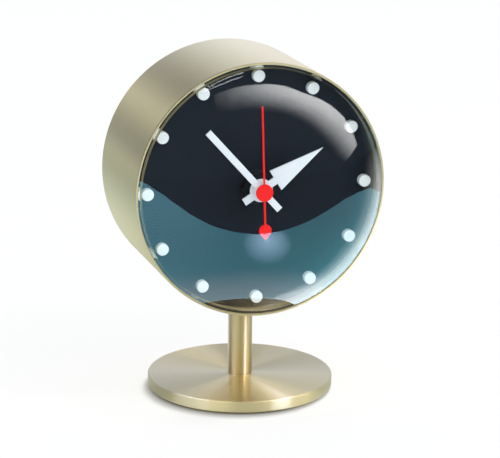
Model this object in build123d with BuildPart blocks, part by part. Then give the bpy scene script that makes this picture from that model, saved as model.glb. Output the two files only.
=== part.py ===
from build123d import *
import os
from math import acos, asin, cos, pi, radians, sin, sqrt

# Table clock: a brass drum on a stem and a round base, with a domed lens and a quartz movement.
# Millimetres. The origin is the middle of the underside, +Z is up and the dial faces -Y.
# Depth is counted backwards from the front rim. A station is a depth behind the movement's front face.

# Case, stem and base
case_diameter = 110.0
case_length = 58.0
case_wall = 1.8
case_edge_round = 0.3
base_diameter = 81.5
base_thickness = 5.0
base_bevel = 0.4
foot_diameter = 75.0
foot_thickness = 0.8
stem_diameter = 10.7
stem_length = 34.5

# Screws that hold the stem
screw_diameter = 5.0
screw_head_diameter = 8.5
screw_head_height = 3.0
screw_socket_width = 4.0
screw_socket_depth = 2.0
screw_grip = 10.0
screw_hole_slack = 0.25
tapped_hole_spare = 2.0
head_recess = 0.2
saddle_diameter = 14.0
saddle_thickness = 2.0

# Lens and dial
rim_width = 1.0
lens_seat_depth = 2.4
lens_height = 21.0
lens_thickness = 1.2
dial_depth = 8.5
dial_thickness = 1.5
dial_ring_width = 5.0
dial_ring_thickness = 2.0
dial_foot_diameter = 2.4
dial_foot_count = 3
dial_foot_angle = 0.0
dial_nut_width = 4.0
dial_nut_height = 1.6
dial_foot_spare = 0.6
marker_count = 12
marker_inset = 5.2
marker_diameter = 5.2
marker_height = 3.0
marker_edge_round = 0.25
spigot_diameter = 2.4
spigot_gap = 0.1

# Hands, shown at seven minutes to two. The hour hand is pressed on a little ahead of its hour.
whole_hour_angle = 30.0
hour_hand_lead = 1.5
minute_hand_angle = 318.0
second_hand_angle = 358.0
hand_thickness = 0.8
hour_hand_depth = 0.8
hour_tip_gap = 13.4
hour_barb = 7.4
hour_barb_width = 10.1
hour_neck_width = 3.3
hour_tail = 8.9
hour_hub_diameter = 10.0
minute_hand_depth = -1.9
minute_tip_gap = 9.2
minute_tail = 11.0
minute_width = 2.85
minute_hub_diameter = 8.4
second_hand_depth = -3.5
second_hand_thickness = 0.6
second_tip_gap = 8.4
second_root_width = 0.8
second_tip_width = 0.7
second_tail_point = 20.5
second_drop_centre = 16.5
second_drop_diameter = 5.5
second_hub_diameter = 7.4
second_hub_height = 1.2

# Movement case
movement_depth = 16.0
movement_wall = 0.9
movement_corner = 3.0
front_plate = 1.5
lid_thickness = 1.3
lid_lip_height = 1.5
lid_lip_width = 0.8
train_room_above = 27.1
train_room_below = 11.0
washer_thickness = 1.2
washer_diameter = 20.0
bush_diameter = 8.0
bush_reach = 5.5
nut_washer_diameter = 15.0
nut_washer_thickness = 0.6
nut_width = 12.0
nut_height = 2.6

# Battery and its contacts
battery_diameter = 14.5
battery_length = 50.5
battery_tip_diameter = 5.5
battery_tip_length = 1.3
battery_slack = 0.35
contact_room = 1.85
contact_thickness = 0.4
contact_width = 9.0
contact_gap = 0.15
contact_dimple_diameter = 3.0

# Wheels: tooth counts and modules
rotor_pinion_teeth = 6
intermediate_teeth = 36
rotor_module = 0.25
intermediate_pinion_teeth = 8
second_teeth = 40
second_module = 0.35
second_pinion_teeth = 8
third_teeth = 60
third_module = 0.25
third_pinion_teeth = 8
centre_teeth = 64
cannon_teeth = 12
minute_teeth = 36
minute_module = 0.25
minute_pinion_teeth = 10
hour_teeth = 40
setting_teeth = 14
tooth_tip = 0.70
tooth_root = 1.05
tooth_tip_half = 0.28
tooth_root_half = 0.74
wheel_thickness = 0.8
wheel_gap = 0.3
face_overlap = 0.1

# Arbors, pipes and posts
arbor_radius = 0.4
second_arbor_radius = 0.5
pipe_wall_minute = 1.14
pipe_wall_hour = 0.7
cannon_tail_radius = 1.2
setting_arbor_radius = 1.0
pivot_depth = 1.1
post_radius = 1.2
post_gap = 0.4
bridge_thickness = 1.2
bridge_margin = 2.5
bridge_post_radius = 1.6
bridge_screw_diameter = 1.5
bridge_screw_head = 2.8
bridge_screw_head_height = 1.0
bridge_screw_grip = 4.0
knob_diameter = 9.0
knob_height = 5.0
knob_gap = 0.4
knob_flutes = 16
knob_flute_radius = 0.5

# Motor and circuit
magnet_radius = 2.2
magnet_length = 2.0
stator_thickness = 1.0
stator_air_gap = 0.4
stator_wall = 1.3
stator_arm_width = 2.1
stator_arm_edge = 9.5
coil_core_width = 3.0
coil_tube_radius = 2.2
coil_flange_radius = 3.6
coil_flange_thickness = 0.8
winding_radius = 3.4
coil_gap = 0.5
board_width = 13.0
board_height = 13.0
board_thickness = 0.8
board_margin = 1.0
chip_up = 4.3
chip_radius = 3.0
chip_height = 1.2
crystal_up = 10.8
crystal_radius = 1.0
crystal_length = 6.0

# Rear
rear_recess = 2.0
cover_thickness = 2.0
rear_ring_width = 4.0
rear_ring_thickness = 2.0
cover_screw_diameter = 2.0
cover_screw_head = 3.6
cover_screw_head_height = 1.4
cover_screw_count = 3
cover_screw_angle = 30.0
well_corner = 4.4
well_wall = 1.6
well_floor = 1.5
well_floor_gap = 0.8
window_corner = 2.0

# Clearances
close_fit = 0.02
seat_fit = 0.05
running_fit = 0.05
loose_fit = 0.15

# Angles, in degrees
full_turn = 360.0
quarter_turn = full_turn / 4

# Places that follow from the sizes above
case_radius = case_diameter / 2
bore_radius = case_radius - case_wall
rim_y = -case_length / 2
base_top = foot_thickness + base_thickness
axis_height = base_top + stem_length + case_radius
marker_circle_radius = bore_radius - marker_inset
peg_edge_radius = marker_circle_radius - marker_diameter / 2
dial_back = dial_depth + dial_thickness
movement_front = dial_back + washer_thickness
movement_top = train_room_above + movement_wall
bay_top = -train_room_below - movement_wall
bay_bottom = bay_top - battery_diameter - 2 * battery_slack
movement_bottom = bay_bottom - movement_wall
battery_height = (bay_top + bay_bottom) / 2
battery_station = front_plate + battery_slack + battery_diameter / 2
lid_station = movement_depth - lid_thickness
at_front = (Align.CENTER, Align.CENTER, Align.MIN)


def head_plane(depth, x=0.0, up=0.0):
    """A plane across the drum: local X is right and local Y is up for someone facing the dial."""
    return Plane((x, rim_y + depth, axis_height + up), x_dir=(1, 0, 0), z_dir=(0, -1, 0))


def train_plane(station, spot=(0.0, 0.0)):
    """A plane across the movement, centred on a spot beside the centre arbor."""
    return head_plane(movement_front + station, spot[0], spot[1])


def clock_point(turn, radius):
    """A point on the dial, its turn counted clockwise in degrees from twelve."""
    return (radius * sin(radians(turn)), radius * cos(radians(turn)))


def pitch_radius(teeth, module):
    return teeth * module / 2


def gear_outline(teeth, module, phase):
    """Corner points of a wheel with thin straight-sided clock teeth, one tooth at the phase angle."""
    pitch = pitch_radius(teeth, module)
    tip = pitch + tooth_tip * module
    root = pitch - tooth_root * module
    tip_half = tooth_tip_half * module / tip
    root_half = tooth_root_half * module / root
    points = []
    for tooth in range(teeth):
        middle = phase + 2 * pi * tooth / teeth
        corners = ((root, -root_half), (tip, -tip_half), (tip, tip_half), (root, root_half))
        for radius, turn in corners:
            points.append((radius * cos(middle + turn), radius * sin(middle + turn)))
    return points


def meshed_phase(teeth_a, phase_a, direction, teeth_b):
    """Phase of a wheel whose gap takes the tooth of the wheel that lies in the opposite direction."""
    part_of_pitch = (direction - phase_a) * teeth_a / (2 * pi) % 1
    return direction + pi - (0.5 - part_of_pitch) * 2 * pi / teeth_b


def add_round(front, back, spot, radius, mode=Mode.ADD):
    """A round length between two stations."""
    with Locations(train_plane(back, spot)):
        Cylinder(radius, back - front, align=at_front, mode=mode)


def add_block(front, back, low, high, mode=Mode.ADD):
    """A block between two stations and two opposite corners."""
    middle = ((low[0] + high[0]) / 2, (low[1] + high[1]) / 2)
    with Locations(train_plane(back, middle)):
        Box(high[0] - low[0], high[1] - low[1], back - front, align=at_front, mode=mode)


def add_gear(front, back, spot, teeth, module, phase):
    """A toothed length between two stations."""
    with BuildSketch(train_plane(back, spot)) as outline:
        Polygon(*gear_outline(teeth, module, phase), align=None)
    extrude(outline.sketch, amount=back - front)


def save(piece, name):
    """Names a finished piece and writes its file."""
    piece.part.label = name
    export_step(piece.part, "parts/" + name + ".step")


os.makedirs("parts", exist_ok=True)

# Foot: a thin rubber disc that covers the base's screw and stands on the table.
with BuildPart() as base_foot:
    Cylinder(foot_diameter / 2, foot_thickness, align=at_front)
save(base_foot, "base_foot")

# Base: a turned brass disc with a bevelled edge, bored and recessed below for the screw's head.
screw_radius = screw_diameter / 2
recess_top = foot_thickness + head_recess + screw_head_height
with BuildPart() as base_disc:
    with Locations((0, 0, foot_thickness)):
        Cylinder(base_diameter / 2, base_thickness, align=at_front)
    chamfer(base_disc.edges().filter_by(GeomType.CIRCLE), base_bevel)
    with Locations((0, 0, foot_thickness)):
        Cylinder(screw_radius + screw_hole_slack, base_thickness, align=at_front, mode=Mode.SUBTRACT)
        Cylinder(
            screw_head_diameter / 2 + screw_hole_slack,
            recess_top - foot_thickness,
            align=at_front,
            mode=Mode.SUBTRACT,
        )
save(base_disc, "base_disc")

# Base screw: a socket screw from below, through the base into the stem.
with BuildPart() as base_screw:
    with Locations((0, 0, recess_top - screw_head_height)):
        Cylinder(screw_head_diameter / 2, screw_head_height, align=at_front)
    with Locations((0, 0, recess_top)):
        Cylinder(screw_radius, base_top - recess_top + screw_grip, align=at_front)
    with BuildSketch(Plane.XY.offset(recess_top - screw_head_height)):
        RegularPolygon(screw_socket_width / 2, 6, major_radius=False)
    extrude(amount=screw_socket_depth, mode=Mode.SUBTRACT)
save(base_screw, "base_screw")

# Stem: a brass rod, tapped at both ends, its top hollowed to sit against the round of the case.
case_bottom = axis_height - case_radius
case_floor = axis_height - bore_radius
tapped_depth = screw_grip + tapped_hole_spare
with BuildPart() as stem:
    with Locations((0, 0, base_top)):
        Cylinder(stem_diameter / 2, case_bottom + case_wall - base_top, align=at_front)
    with Locations(head_plane(case_length)):
        Cylinder(case_radius + close_fit, case_length, align=at_front, mode=Mode.SUBTRACT)
    with Locations((0, 0, base_top)):
        Cylinder(screw_radius + close_fit, tapped_depth, align=at_front, mode=Mode.SUBTRACT)
    with Locations((0, 0, case_bottom - tapped_depth)):
        Cylinder(screw_radius + close_fit, tapped_depth + case_wall, align=at_front, mode=Mode.SUBTRACT)
save(stem, "stem")

# Case: a brass tube with a seat turned in its front for the lens, which leaves a thin rim.
lens_seat_radius = case_radius - rim_width
with BuildPart() as case_body:
    with Locations(head_plane(case_length)):
        Cylinder(case_radius, case_length, align=at_front)
    fillet(case_body.edges().filter_by(GeomType.CIRCLE), case_edge_round)
    with Locations(head_plane(case_length)):
        Cylinder(bore_radius, case_length, align=at_front, mode=Mode.SUBTRACT)
    with Locations(head_plane(lens_seat_depth)):
        Cylinder(lens_seat_radius, lens_seat_depth, align=at_front, mode=Mode.SUBTRACT)
    with Locations((0, 0, case_bottom)):
        Cylinder(screw_radius + screw_hole_slack, case_radius, align=at_front, mode=Mode.SUBTRACT)
save(case_body, "case_body")

# Saddle washer: fills the round of the case under the screw's flat head.
saddle_top = case_floor + saddle_thickness
with BuildPart() as saddle_washer:
    with Locations((0, 0, case_bottom)):
        Cylinder(saddle_diameter / 2, saddle_top - case_bottom, align=at_front)
    with Locations(head_plane(case_length)):
        Cylinder(bore_radius - close_fit, case_length, align=at_front, mode=Mode.INTERSECT)
    with Locations((0, 0, case_bottom)):
        Cylinder(
            screw_radius + screw_hole_slack,
            saddle_top - case_bottom,
            align=at_front,
            mode=Mode.SUBTRACT,
        )
save(saddle_washer, "saddle_washer")

# Stem screw: a socket screw inside the case, down through its wall into the stem.
stem_screw_tip = case_bottom - screw_grip
with BuildPart() as stem_screw:
    with Locations((0, 0, saddle_top)):
        Cylinder(screw_head_diameter / 2, screw_head_height, align=at_front)
    with Locations((0, 0, stem_screw_tip)):
        Cylinder(screw_radius, saddle_top - stem_screw_tip, align=at_front)
    with BuildSketch(Plane.XY.offset(saddle_top + screw_head_height)):
        RegularPolygon(screw_socket_width / 2, 6, major_radius=False)
    extrude(amount=-screw_socket_depth, mode=Mode.SUBTRACT)
save(stem_screw, "stem_screw")

# Dial ring: a brass ring soldered in the bore, which the dial lies against.
dial_foot_circle = bore_radius - dial_ring_width / 2
dial_foot_start = quarter_turn - dial_foot_angle
with BuildPart() as dial_ring:
    with Locations(head_plane(dial_back + dial_ring_thickness)):
        Cylinder(bore_radius - close_fit, dial_ring_thickness, align=at_front)
        Cylinder(bore_radius - dial_ring_width, dial_ring_thickness, align=at_front, mode=Mode.SUBTRACT)
        with PolarLocations(dial_foot_circle, dial_foot_count, start_angle=dial_foot_start):
            Cylinder(
                dial_foot_diameter / 2 + seat_fit,
                dial_ring_thickness,
                align=at_front,
                mode=Mode.SUBTRACT,
            )
save(dial_ring, "dial_ring")

# Dial: a black disc with a hole for the bush, twelve small holes for the pegs and three feet behind.
bush_radius = bush_diameter / 2
dial_foot_length = dial_ring_thickness + dial_nut_height + dial_foot_spare
with BuildPart() as dial:
    with Locations(head_plane(dial_back)):
        Cylinder(bore_radius - loose_fit, dial_thickness, align=at_front)
        Cylinder(bush_radius + loose_fit, dial_thickness, align=at_front, mode=Mode.SUBTRACT)
        with PolarLocations(marker_circle_radius, marker_count):
            Cylinder(
                spigot_diameter / 2 + close_fit,
                dial_thickness,
                align=at_front,
                mode=Mode.SUBTRACT,
            )
    with Locations(head_plane(dial_back + dial_foot_length)):
        with PolarLocations(dial_foot_circle, dial_foot_count, start_angle=dial_foot_start):
            Cylinder(dial_foot_diameter / 2, dial_foot_length, align=at_front)
save(dial, "dial")

# Dial nuts: small hexagon nuts on the dial's feet, tight against the ring.
with BuildPart() as dial_nuts:
    with BuildSketch(head_plane(dial_back + dial_ring_thickness + dial_nut_height)):
        with PolarLocations(dial_foot_circle, dial_foot_count, start_angle=dial_foot_start):
            RegularPolygon(dial_nut_width / 2, 6, major_radius=False)
            Circle(dial_foot_diameter / 2 + close_fit, mode=Mode.SUBTRACT)
    extrude(amount=dial_nut_height)
save(dial_nuts, "dial_nuts")

# Hour pegs: white round pegs, each with a spigot pressed into the dial.
spigot_length = dial_thickness - spigot_gap
for number in range(1, marker_count + 1):
    peg_x, peg_up = clock_point(full_turn * number / marker_count, marker_circle_radius)
    with BuildPart() as hour_marker:
        with Locations(head_plane(dial_depth, peg_x, peg_up)):
            Cylinder(marker_diameter / 2, marker_height, align=at_front)
        fillet(hour_marker.edges().group_by(Axis.Y)[0], marker_edge_round)
        with Locations(head_plane(dial_depth + spigot_length, peg_x, peg_up)):
            Cylinder(spigot_diameter / 2, spigot_length, align=at_front)
    save(hour_marker, f"hour_marker_{number:02d}")

# Lens: an acrylic dome of even thickness, with a short skirt cemented into the case's seat.
lens_radius = lens_seat_radius - seat_fit
dome_radius = (lens_radius**2 + lens_height**2) / (2 * lens_height)
dome_inside = dome_radius - lens_thickness
dome_centre = dome_radius - lens_height
skirt_inside = sqrt(dome_inside**2 - dome_centre**2)
skirt_back = lens_seat_depth - seat_fit
outer_half_turn = asin(lens_radius / dome_radius) / 2
inner_half_turn = asin(skirt_inside / dome_inside) / 2
outer_middle = (dome_radius * sin(outer_half_turn), dome_centre - dome_radius * cos(outer_half_turn))
inner_middle = (dome_inside * sin(inner_half_turn), dome_centre - dome_inside * cos(inner_half_turn))
dome_plane = Plane((0, rim_y, axis_height), x_dir=(1, 0, 0), z_dir=(0, 0, 1))
with BuildPart() as lens:
    with BuildSketch(dome_plane):
        with BuildLine():
            ThreePointArc((0, -lens_height), outer_middle, (lens_radius, 0))
            Line((lens_radius, 0), (lens_radius, skirt_back))
            Line((lens_radius, skirt_back), (skirt_inside, skirt_back))
            Line((skirt_inside, skirt_back), (skirt_inside, 0))
            ThreePointArc((skirt_inside, 0), inner_middle, (0, lens_thickness - lens_height))
            Line((0, lens_thickness - lens_height), (0, -lens_height))
        make_face()
    revolve(axis=Axis((0, rim_y, axis_height), (0, 1, 0)))
save(lens, "lens")

# Places of the wheels: the train goes up and right of the centre arbor, the setting work goes left.
right = 0.0
upward = pi / 2
left = pi
centre_spot = (0.0, 0.0)
third_distance = pitch_radius(second_pinion_teeth + third_teeth, third_module)
centre_module = 2 * third_distance / (third_pinion_teeth + centre_teeth)
third_spot = (0.0, third_distance)
intermediate_distance = pitch_radius(intermediate_pinion_teeth + second_teeth, second_module)
intermediate_spot = (intermediate_distance, 0.0)
rotor_distance = pitch_radius(rotor_pinion_teeth + intermediate_teeth, rotor_module)
rotor_spot = (intermediate_distance + rotor_distance, 0.0)
minute_distance = pitch_radius(cannon_teeth + minute_teeth, minute_module)
hour_module = 2 * minute_distance / (minute_pinion_teeth + hour_teeth)
minute_spot = (-minute_distance, 0.0)
setting_distance = pitch_radius(minute_teeth + setting_teeth, minute_module)
setting_spot = (-minute_distance - setting_distance, 0.0)

# Stations of the wheels, from the front plate backwards.
hour_front = front_plate + wheel_gap
hour_back = hour_front + wheel_thickness
cannon_front = hour_back + wheel_gap
cannon_back = cannon_front + wheel_thickness
centre_front = cannon_back + wheel_gap
centre_back = centre_front + wheel_thickness
cannon_end = centre_back + wheel_gap
second_pinion_front = cannon_end + wheel_gap
third_front = second_pinion_front + wheel_gap
third_back = third_front + wheel_thickness
second_front = third_back + wheel_gap
second_back = second_front + wheel_thickness
intermediate_front = second_back + wheel_gap
intermediate_back = intermediate_front + wheel_thickness
bridge_front = intermediate_back + wheel_gap + face_overlap
bridge_back = bridge_front + bridge_thickness
arbor_back = bridge_back - wheel_gap
train_post_end = centre_front - post_gap
magnet_front = centre_back
magnet_back = magnet_front + magnet_length
rotor_post_end = magnet_front - post_gap
stator_front = (magnet_front + magnet_back - stator_thickness) / 2
stator_back = stator_front + stator_thickness

# Pipes of the three hands, one inside the next.
minute_pipe_inside = second_arbor_radius + running_fit
minute_pipe_radius = minute_pipe_inside + pipe_wall_minute
hour_pipe_inside = minute_pipe_radius + running_fit
hour_pipe_radius = hour_pipe_inside + pipe_wall_hour
bush_bore = hour_pipe_radius + running_fit
hour_pipe_end = hour_hand_depth - wheel_gap - movement_front
minute_pipe_end = minute_hand_depth - wheel_gap - movement_front
second_arbor_end = second_hand_depth - movement_front
bush_end = dial_depth - bush_reach - movement_front

# Posts of the movement's front case, and what stands on them.
stator_left = rotor_spot[0] - magnet_radius - stator_air_gap - stator_wall
stator_window = rotor_spot[0] + magnet_radius + stator_air_gap + stator_wall
coil_x = stator_window + coil_gap + coil_flange_radius
stator_right = coil_x + coil_core_width / 2 + stator_wall
movement_inner = max(battery_length / 2 + contact_room, coil_x + coil_flange_radius + coil_gap)
movement_width = 2 * (movement_inner + movement_wall)
stator_window_half = stator_arm_edge - stator_arm_width
stator_post_up = stator_arm_edge - post_radius
stator_post_spots = [(stator_left + post_radius, side * stator_post_up) for side in (-1, 1)]
board_high = (movement_inner - board_margin, train_room_above - board_margin)
board_low = (board_high[0] - board_width, board_high[1] - board_height)
board_front = stator_back
board_post_spots = [
    (board_low[0] + post_radius, board_low[1] + post_radius),
    (board_high[0] - post_radius, board_high[1] - post_radius),
]
setting_clear = setting_spot[0] - setting_arbor_radius - bridge_post_radius
train_tip = pitch_radius(third_teeth, third_module) + tooth_tip * third_module
bridge_post_right = third_spot[0] + train_tip + bridge_post_radius + wheel_gap
bridge_post_low = -train_room_below + bridge_post_radius + wheel_gap
bridge_post_spots = [
    (setting_clear, third_distance),
    (setting_clear, bridge_post_low),
    (bridge_post_right, stator_arm_edge + bridge_post_radius + wheel_gap),
    (bridge_post_right / 2, bridge_post_low),
]

# Movement front case: a moulded tray with a threaded bush, the battery bay, and posts for the train.
pivot_hole = arbor_radius + running_fit
with BuildPart() as movement_front_case:
    with BuildSketch(train_plane(movement_depth, (0, (movement_top + movement_bottom) / 2))):
        RectangleRounded(movement_width, movement_top - movement_bottom, movement_corner)
    extrude(amount=movement_depth)
    add_block(
        lid_station,
        movement_depth,
        (-movement_width, -train_room_below),
        (movement_width, movement_top + movement_wall),
        mode=Mode.SUBTRACT,
    )
    add_block(
        front_plate,
        movement_depth,
        (-movement_inner, bay_bottom),
        (movement_inner, bay_top),
        mode=Mode.SUBTRACT,
    )
    add_block(
        front_plate,
        movement_depth,
        (-movement_inner, -train_room_below),
        (movement_inner, train_room_above),
        mode=Mode.SUBTRACT,
    )
    for spot in (third_spot, intermediate_spot):
        add_round(front_plate, train_post_end, spot, post_radius)
        add_round(train_post_end - pivot_depth, train_post_end, spot, pivot_hole, Mode.SUBTRACT)
    add_round(front_plate, rotor_post_end, rotor_spot, post_radius)
    add_round(rotor_post_end - pivot_depth, rotor_post_end, rotor_spot, pivot_hole, Mode.SUBTRACT)
    add_round(front_plate - pivot_depth, front_plate, setting_spot, pivot_hole, Mode.SUBTRACT)
    add_round(front_plate, cannon_back + wheel_gap / 2, minute_spot, second_arbor_radius)
    for spot in stator_post_spots:
        add_round(front_plate, stator_front, spot, post_radius)
    for spot in board_post_spots:
        add_round(front_plate, board_front, spot, post_radius)
    for spot in bridge_post_spots:
        add_round(front_plate, bridge_front, spot, bridge_post_radius)
        add_round(
            bridge_front - bridge_screw_grip,
            bridge_front,
            spot,
            bridge_screw_diameter / 2 + close_fit,
            Mode.SUBTRACT,
        )
    add_round(bush_end, 0, centre_spot, bush_radius)
    add_round(bush_end, front_plate, centre_spot, bush_bore, Mode.SUBTRACT)
save(movement_front_case, "movement_front_case")

# Movement lid: a moulded plate that closes the train's side, located by a lip inside the walls.
lid_low = (-movement_width / 2, -train_room_below + seat_fit)
lid_high = (movement_width / 2, movement_top)
lip_low = (-movement_inner + seat_fit, -train_room_below + seat_fit)
lip_high = (movement_inner - seat_fit, train_room_above - seat_fit)
lip_front = lid_station - lid_lip_height
with BuildPart() as movement_lid:
    add_block(lid_station, movement_depth, lid_low, lid_high)
    corner_edges = movement_lid.edges().filter_by(Axis.Y).group_by(Axis.Z)[-1]
    fillet(corner_edges, movement_corner)
    add_block(lip_front, lid_station, lip_low, lip_high)
    add_block(
        lip_front,
        lid_station,
        (lip_low[0] + lid_lip_width, lip_low[1] + lid_lip_width),
        (lip_high[0] - lid_lip_width, lip_high[1] - lid_lip_width),
        mode=Mode.SUBTRACT,
    )
    add_round(lip_front, movement_depth, setting_spot, setting_arbor_radius + running_fit, Mode.SUBTRACT)
save(movement_lid, "movement_lid")

# Movement washer: a rubber ring between the dial and the movement.
with BuildPart() as movement_washer:
    add_round(-washer_thickness, 0, centre_spot, washer_diameter / 2)
    add_round(-washer_thickness, 0, centre_spot, bush_radius + loose_fit, Mode.SUBTRACT)
save(movement_washer, "movement_washer")

# Nut washer and nut: they clamp the dial and the movement together from the front.
with BuildPart() as nut_washer:
    with Locations(head_plane(dial_depth)):
        Cylinder(nut_washer_diameter / 2, nut_washer_thickness, align=at_front)
        Cylinder(bush_radius + loose_fit, nut_washer_thickness, align=at_front, mode=Mode.SUBTRACT)
save(nut_washer, "nut_washer")

with BuildPart() as movement_nut:
    with BuildSketch(head_plane(dial_depth - nut_washer_thickness)):
        RegularPolygon(nut_width / 2, 6, major_radius=False)
        Circle(bush_radius + close_fit, mode=Mode.SUBTRACT)
    extrude(amount=nut_height)
save(movement_nut, "movement_nut")

# Bridge: a moulded plate on four posts, which carries the back pivots of the train.
bridge_low = (
    setting_clear - bridge_post_radius,
    -train_room_below + wheel_gap,
)
bridge_high = (
    rotor_spot[0] + bridge_margin,
    stator_arm_edge + 2 * bridge_post_radius + wheel_gap,
)
with BuildPart() as train_bridge:
    add_block(bridge_front, bridge_back, bridge_low, bridge_high)
    fillet(train_bridge.edges().filter_by(Axis.Y), bridge_post_radius)
    for spot in (third_spot, intermediate_spot, rotor_spot):
        add_round(bridge_front, bridge_back, spot, pivot_hole, Mode.SUBTRACT)
    add_round(bridge_front, bridge_back, centre_spot, second_arbor_radius + running_fit, Mode.SUBTRACT)
    setting_hole = setting_arbor_radius + wheel_gap
    add_round(bridge_front, bridge_back, setting_spot, setting_hole, Mode.SUBTRACT)
    for spot in bridge_post_spots:
        add_round(bridge_front, bridge_back, spot, bridge_screw_diameter / 2 + seat_fit, Mode.SUBTRACT)
save(train_bridge, "train_bridge")

# Bridge screws: four small pan heads that hold the bridge on its posts.
bridge_screw_top = bridge_back + bridge_screw_head_height
bridge_screw_tip = bridge_front - bridge_screw_grip + wheel_gap
with BuildPart() as bridge_screws:
    for spot in bridge_post_spots:
        add_round(bridge_back, bridge_screw_top, spot, bridge_screw_head / 2)
        add_round(bridge_screw_tip, bridge_back, spot, bridge_screw_diameter / 2)
save(bridge_screws, "bridge_screws")

# Phases of the wheels, so that every pair is in mesh as drawn.
second_phase = 0.0
third_phase = meshed_phase(second_pinion_teeth, second_phase, upward, third_teeth)
third_pinion_phase = third_phase
centre_phase = meshed_phase(third_pinion_teeth, third_pinion_phase, -upward, centre_teeth)
intermediate_phase = meshed_phase(second_teeth, second_phase, right, intermediate_pinion_teeth)
rotor_phase = meshed_phase(intermediate_teeth, intermediate_phase, right, rotor_pinion_teeth)
cannon_phase = 0.0
minute_phase = meshed_phase(cannon_teeth, cannon_phase, left, minute_teeth)
hour_phase = meshed_phase(minute_pinion_teeth, minute_phase, right, hour_teeth)
setting_phase = meshed_phase(minute_teeth, minute_phase, left, setting_teeth)

# Hour wheel: moulded, with the long pipe that carries the hour hand.
with BuildPart() as hour_wheel:
    add_gear(hour_front, hour_back, centre_spot, hour_teeth, hour_module, hour_phase)
    add_round(hour_pipe_end, hour_front, centre_spot, hour_pipe_radius)
    add_round(hour_pipe_end, hour_back, centre_spot, hour_pipe_inside, Mode.SUBTRACT)
save(hour_wheel, "hour_wheel")

# Minute wheel: turns on a stud of the front case, and its pinion drives the hour wheel.
with BuildPart() as minute_wheel:
    add_gear(cannon_front, cannon_back, minute_spot, minute_teeth, minute_module, minute_phase)
    add_gear(hour_front, cannon_front, minute_spot, minute_pinion_teeth, hour_module, minute_phase)
    add_round(hour_front, cannon_back, minute_spot, second_arbor_radius + running_fit, Mode.SUBTRACT)
save(minute_wheel, "minute_wheel")

# Cannon pinion: the pipe that carries the minute hand, with a tail that the centre wheel grips.
with BuildPart() as cannon_pinion:
    add_gear(cannon_front, cannon_back, centre_spot, cannon_teeth, minute_module, cannon_phase)
    add_round(minute_pipe_end, cannon_front, centre_spot, minute_pipe_radius)
    add_round(cannon_back, cannon_end, centre_spot, cannon_tail_radius)
    add_round(minute_pipe_end, cannon_end, centre_spot, minute_pipe_inside, Mode.SUBTRACT)
save(cannon_pinion, "cannon_pinion")

# Centre wheel: turned by the train, it slips on the cannon's tail when the hands are set.
with BuildPart() as centre_wheel:
    add_gear(centre_front, centre_back, centre_spot, centre_teeth, centre_module, centre_phase)
    add_round(centre_front, centre_back, centre_spot, cannon_tail_radius + running_fit, Mode.SUBTRACT)
save(centre_wheel, "centre_wheel")

# Third wheel: its pinion turns the centre wheel.
with BuildPart() as third_wheel:
    add_gear(third_front, third_back, third_spot, third_teeth, third_module, third_phase)
    add_gear(
        centre_front - face_overlap,
        centre_back + face_overlap,
        third_spot,
        third_pinion_teeth,
        centre_module,
        third_pinion_phase,
    )
    add_round(train_post_end - pivot_depth + face_overlap, arbor_back, third_spot, arbor_radius)
save(third_wheel, "third_wheel")

# Second wheel: its arbor runs out through both pipes to the second hand.
with BuildPart() as second_wheel:
    add_gear(second_front, second_back, centre_spot, second_teeth, second_module, second_phase)
    add_gear(
        second_pinion_front,
        second_front,
        centre_spot,
        second_pinion_teeth,
        third_module,
        second_phase,
    )
    add_round(second_arbor_end, arbor_back, centre_spot, second_arbor_radius)
save(second_wheel, "second_wheel")

# Intermediate wheel: slows the rotor down for the second wheel.
with BuildPart() as intermediate_wheel:
    add_gear(
        intermediate_front,
        intermediate_back,
        intermediate_spot,
        intermediate_teeth,
        rotor_module,
        intermediate_phase,
    )
    add_gear(
        second_front - face_overlap,
        intermediate_front,
        intermediate_spot,
        intermediate_pinion_teeth,
        second_module,
        intermediate_phase,
    )
    add_round(train_post_end - pivot_depth + face_overlap, arbor_back, intermediate_spot, arbor_radius)
save(intermediate_wheel, "intermediate_wheel")

# Rotor: a moulded pinion and arbor, with a round ferrite magnet pressed on.
with BuildPart() as rotor_pinion:
    add_gear(
        intermediate_front - face_overlap,
        intermediate_back + face_overlap,
        rotor_spot,
        rotor_pinion_teeth,
        rotor_module,
        rotor_phase,
    )
    add_round(rotor_post_end - pivot_depth + face_overlap, arbor_back, rotor_spot, arbor_radius)
save(rotor_pinion, "rotor_pinion")

with BuildPart() as rotor_magnet:
    add_round(magnet_front, magnet_back, rotor_spot, magnet_radius)
    add_round(magnet_front, magnet_back, rotor_spot, arbor_radius + close_fit, Mode.SUBTRACT)
save(rotor_magnet, "rotor_magnet")

# Setting arbor and knob: the knob at the back turns the minute wheel through this pinion.
knob_front = movement_depth + knob_gap
knob_back = knob_front + knob_height
with BuildPart() as setting_arbor:
    add_gear(
        cannon_front - face_overlap,
        cannon_back + face_overlap,
        setting_spot,
        setting_teeth,
        minute_module,
        setting_phase,
    )
    add_round(front_plate - pivot_depth + face_overlap, cannon_front, setting_spot, arbor_radius)
    add_round(cannon_back, knob_back - knob_gap, setting_spot, setting_arbor_radius)
save(setting_arbor, "setting_arbor")

with BuildPart() as setting_knob:
    add_round(knob_front, knob_back, setting_spot, knob_diameter / 2)
    with Locations(train_plane(knob_back, setting_spot)):
        with PolarLocations(knob_diameter / 2, knob_flutes):
            Cylinder(knob_flute_radius, knob_height, align=at_front, mode=Mode.SUBTRACT)
    knob_hole = setting_arbor_radius + close_fit
    add_round(knob_front, knob_back - knob_gap, setting_spot, knob_hole, Mode.SUBTRACT)
save(setting_knob, "setting_knob")

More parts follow.
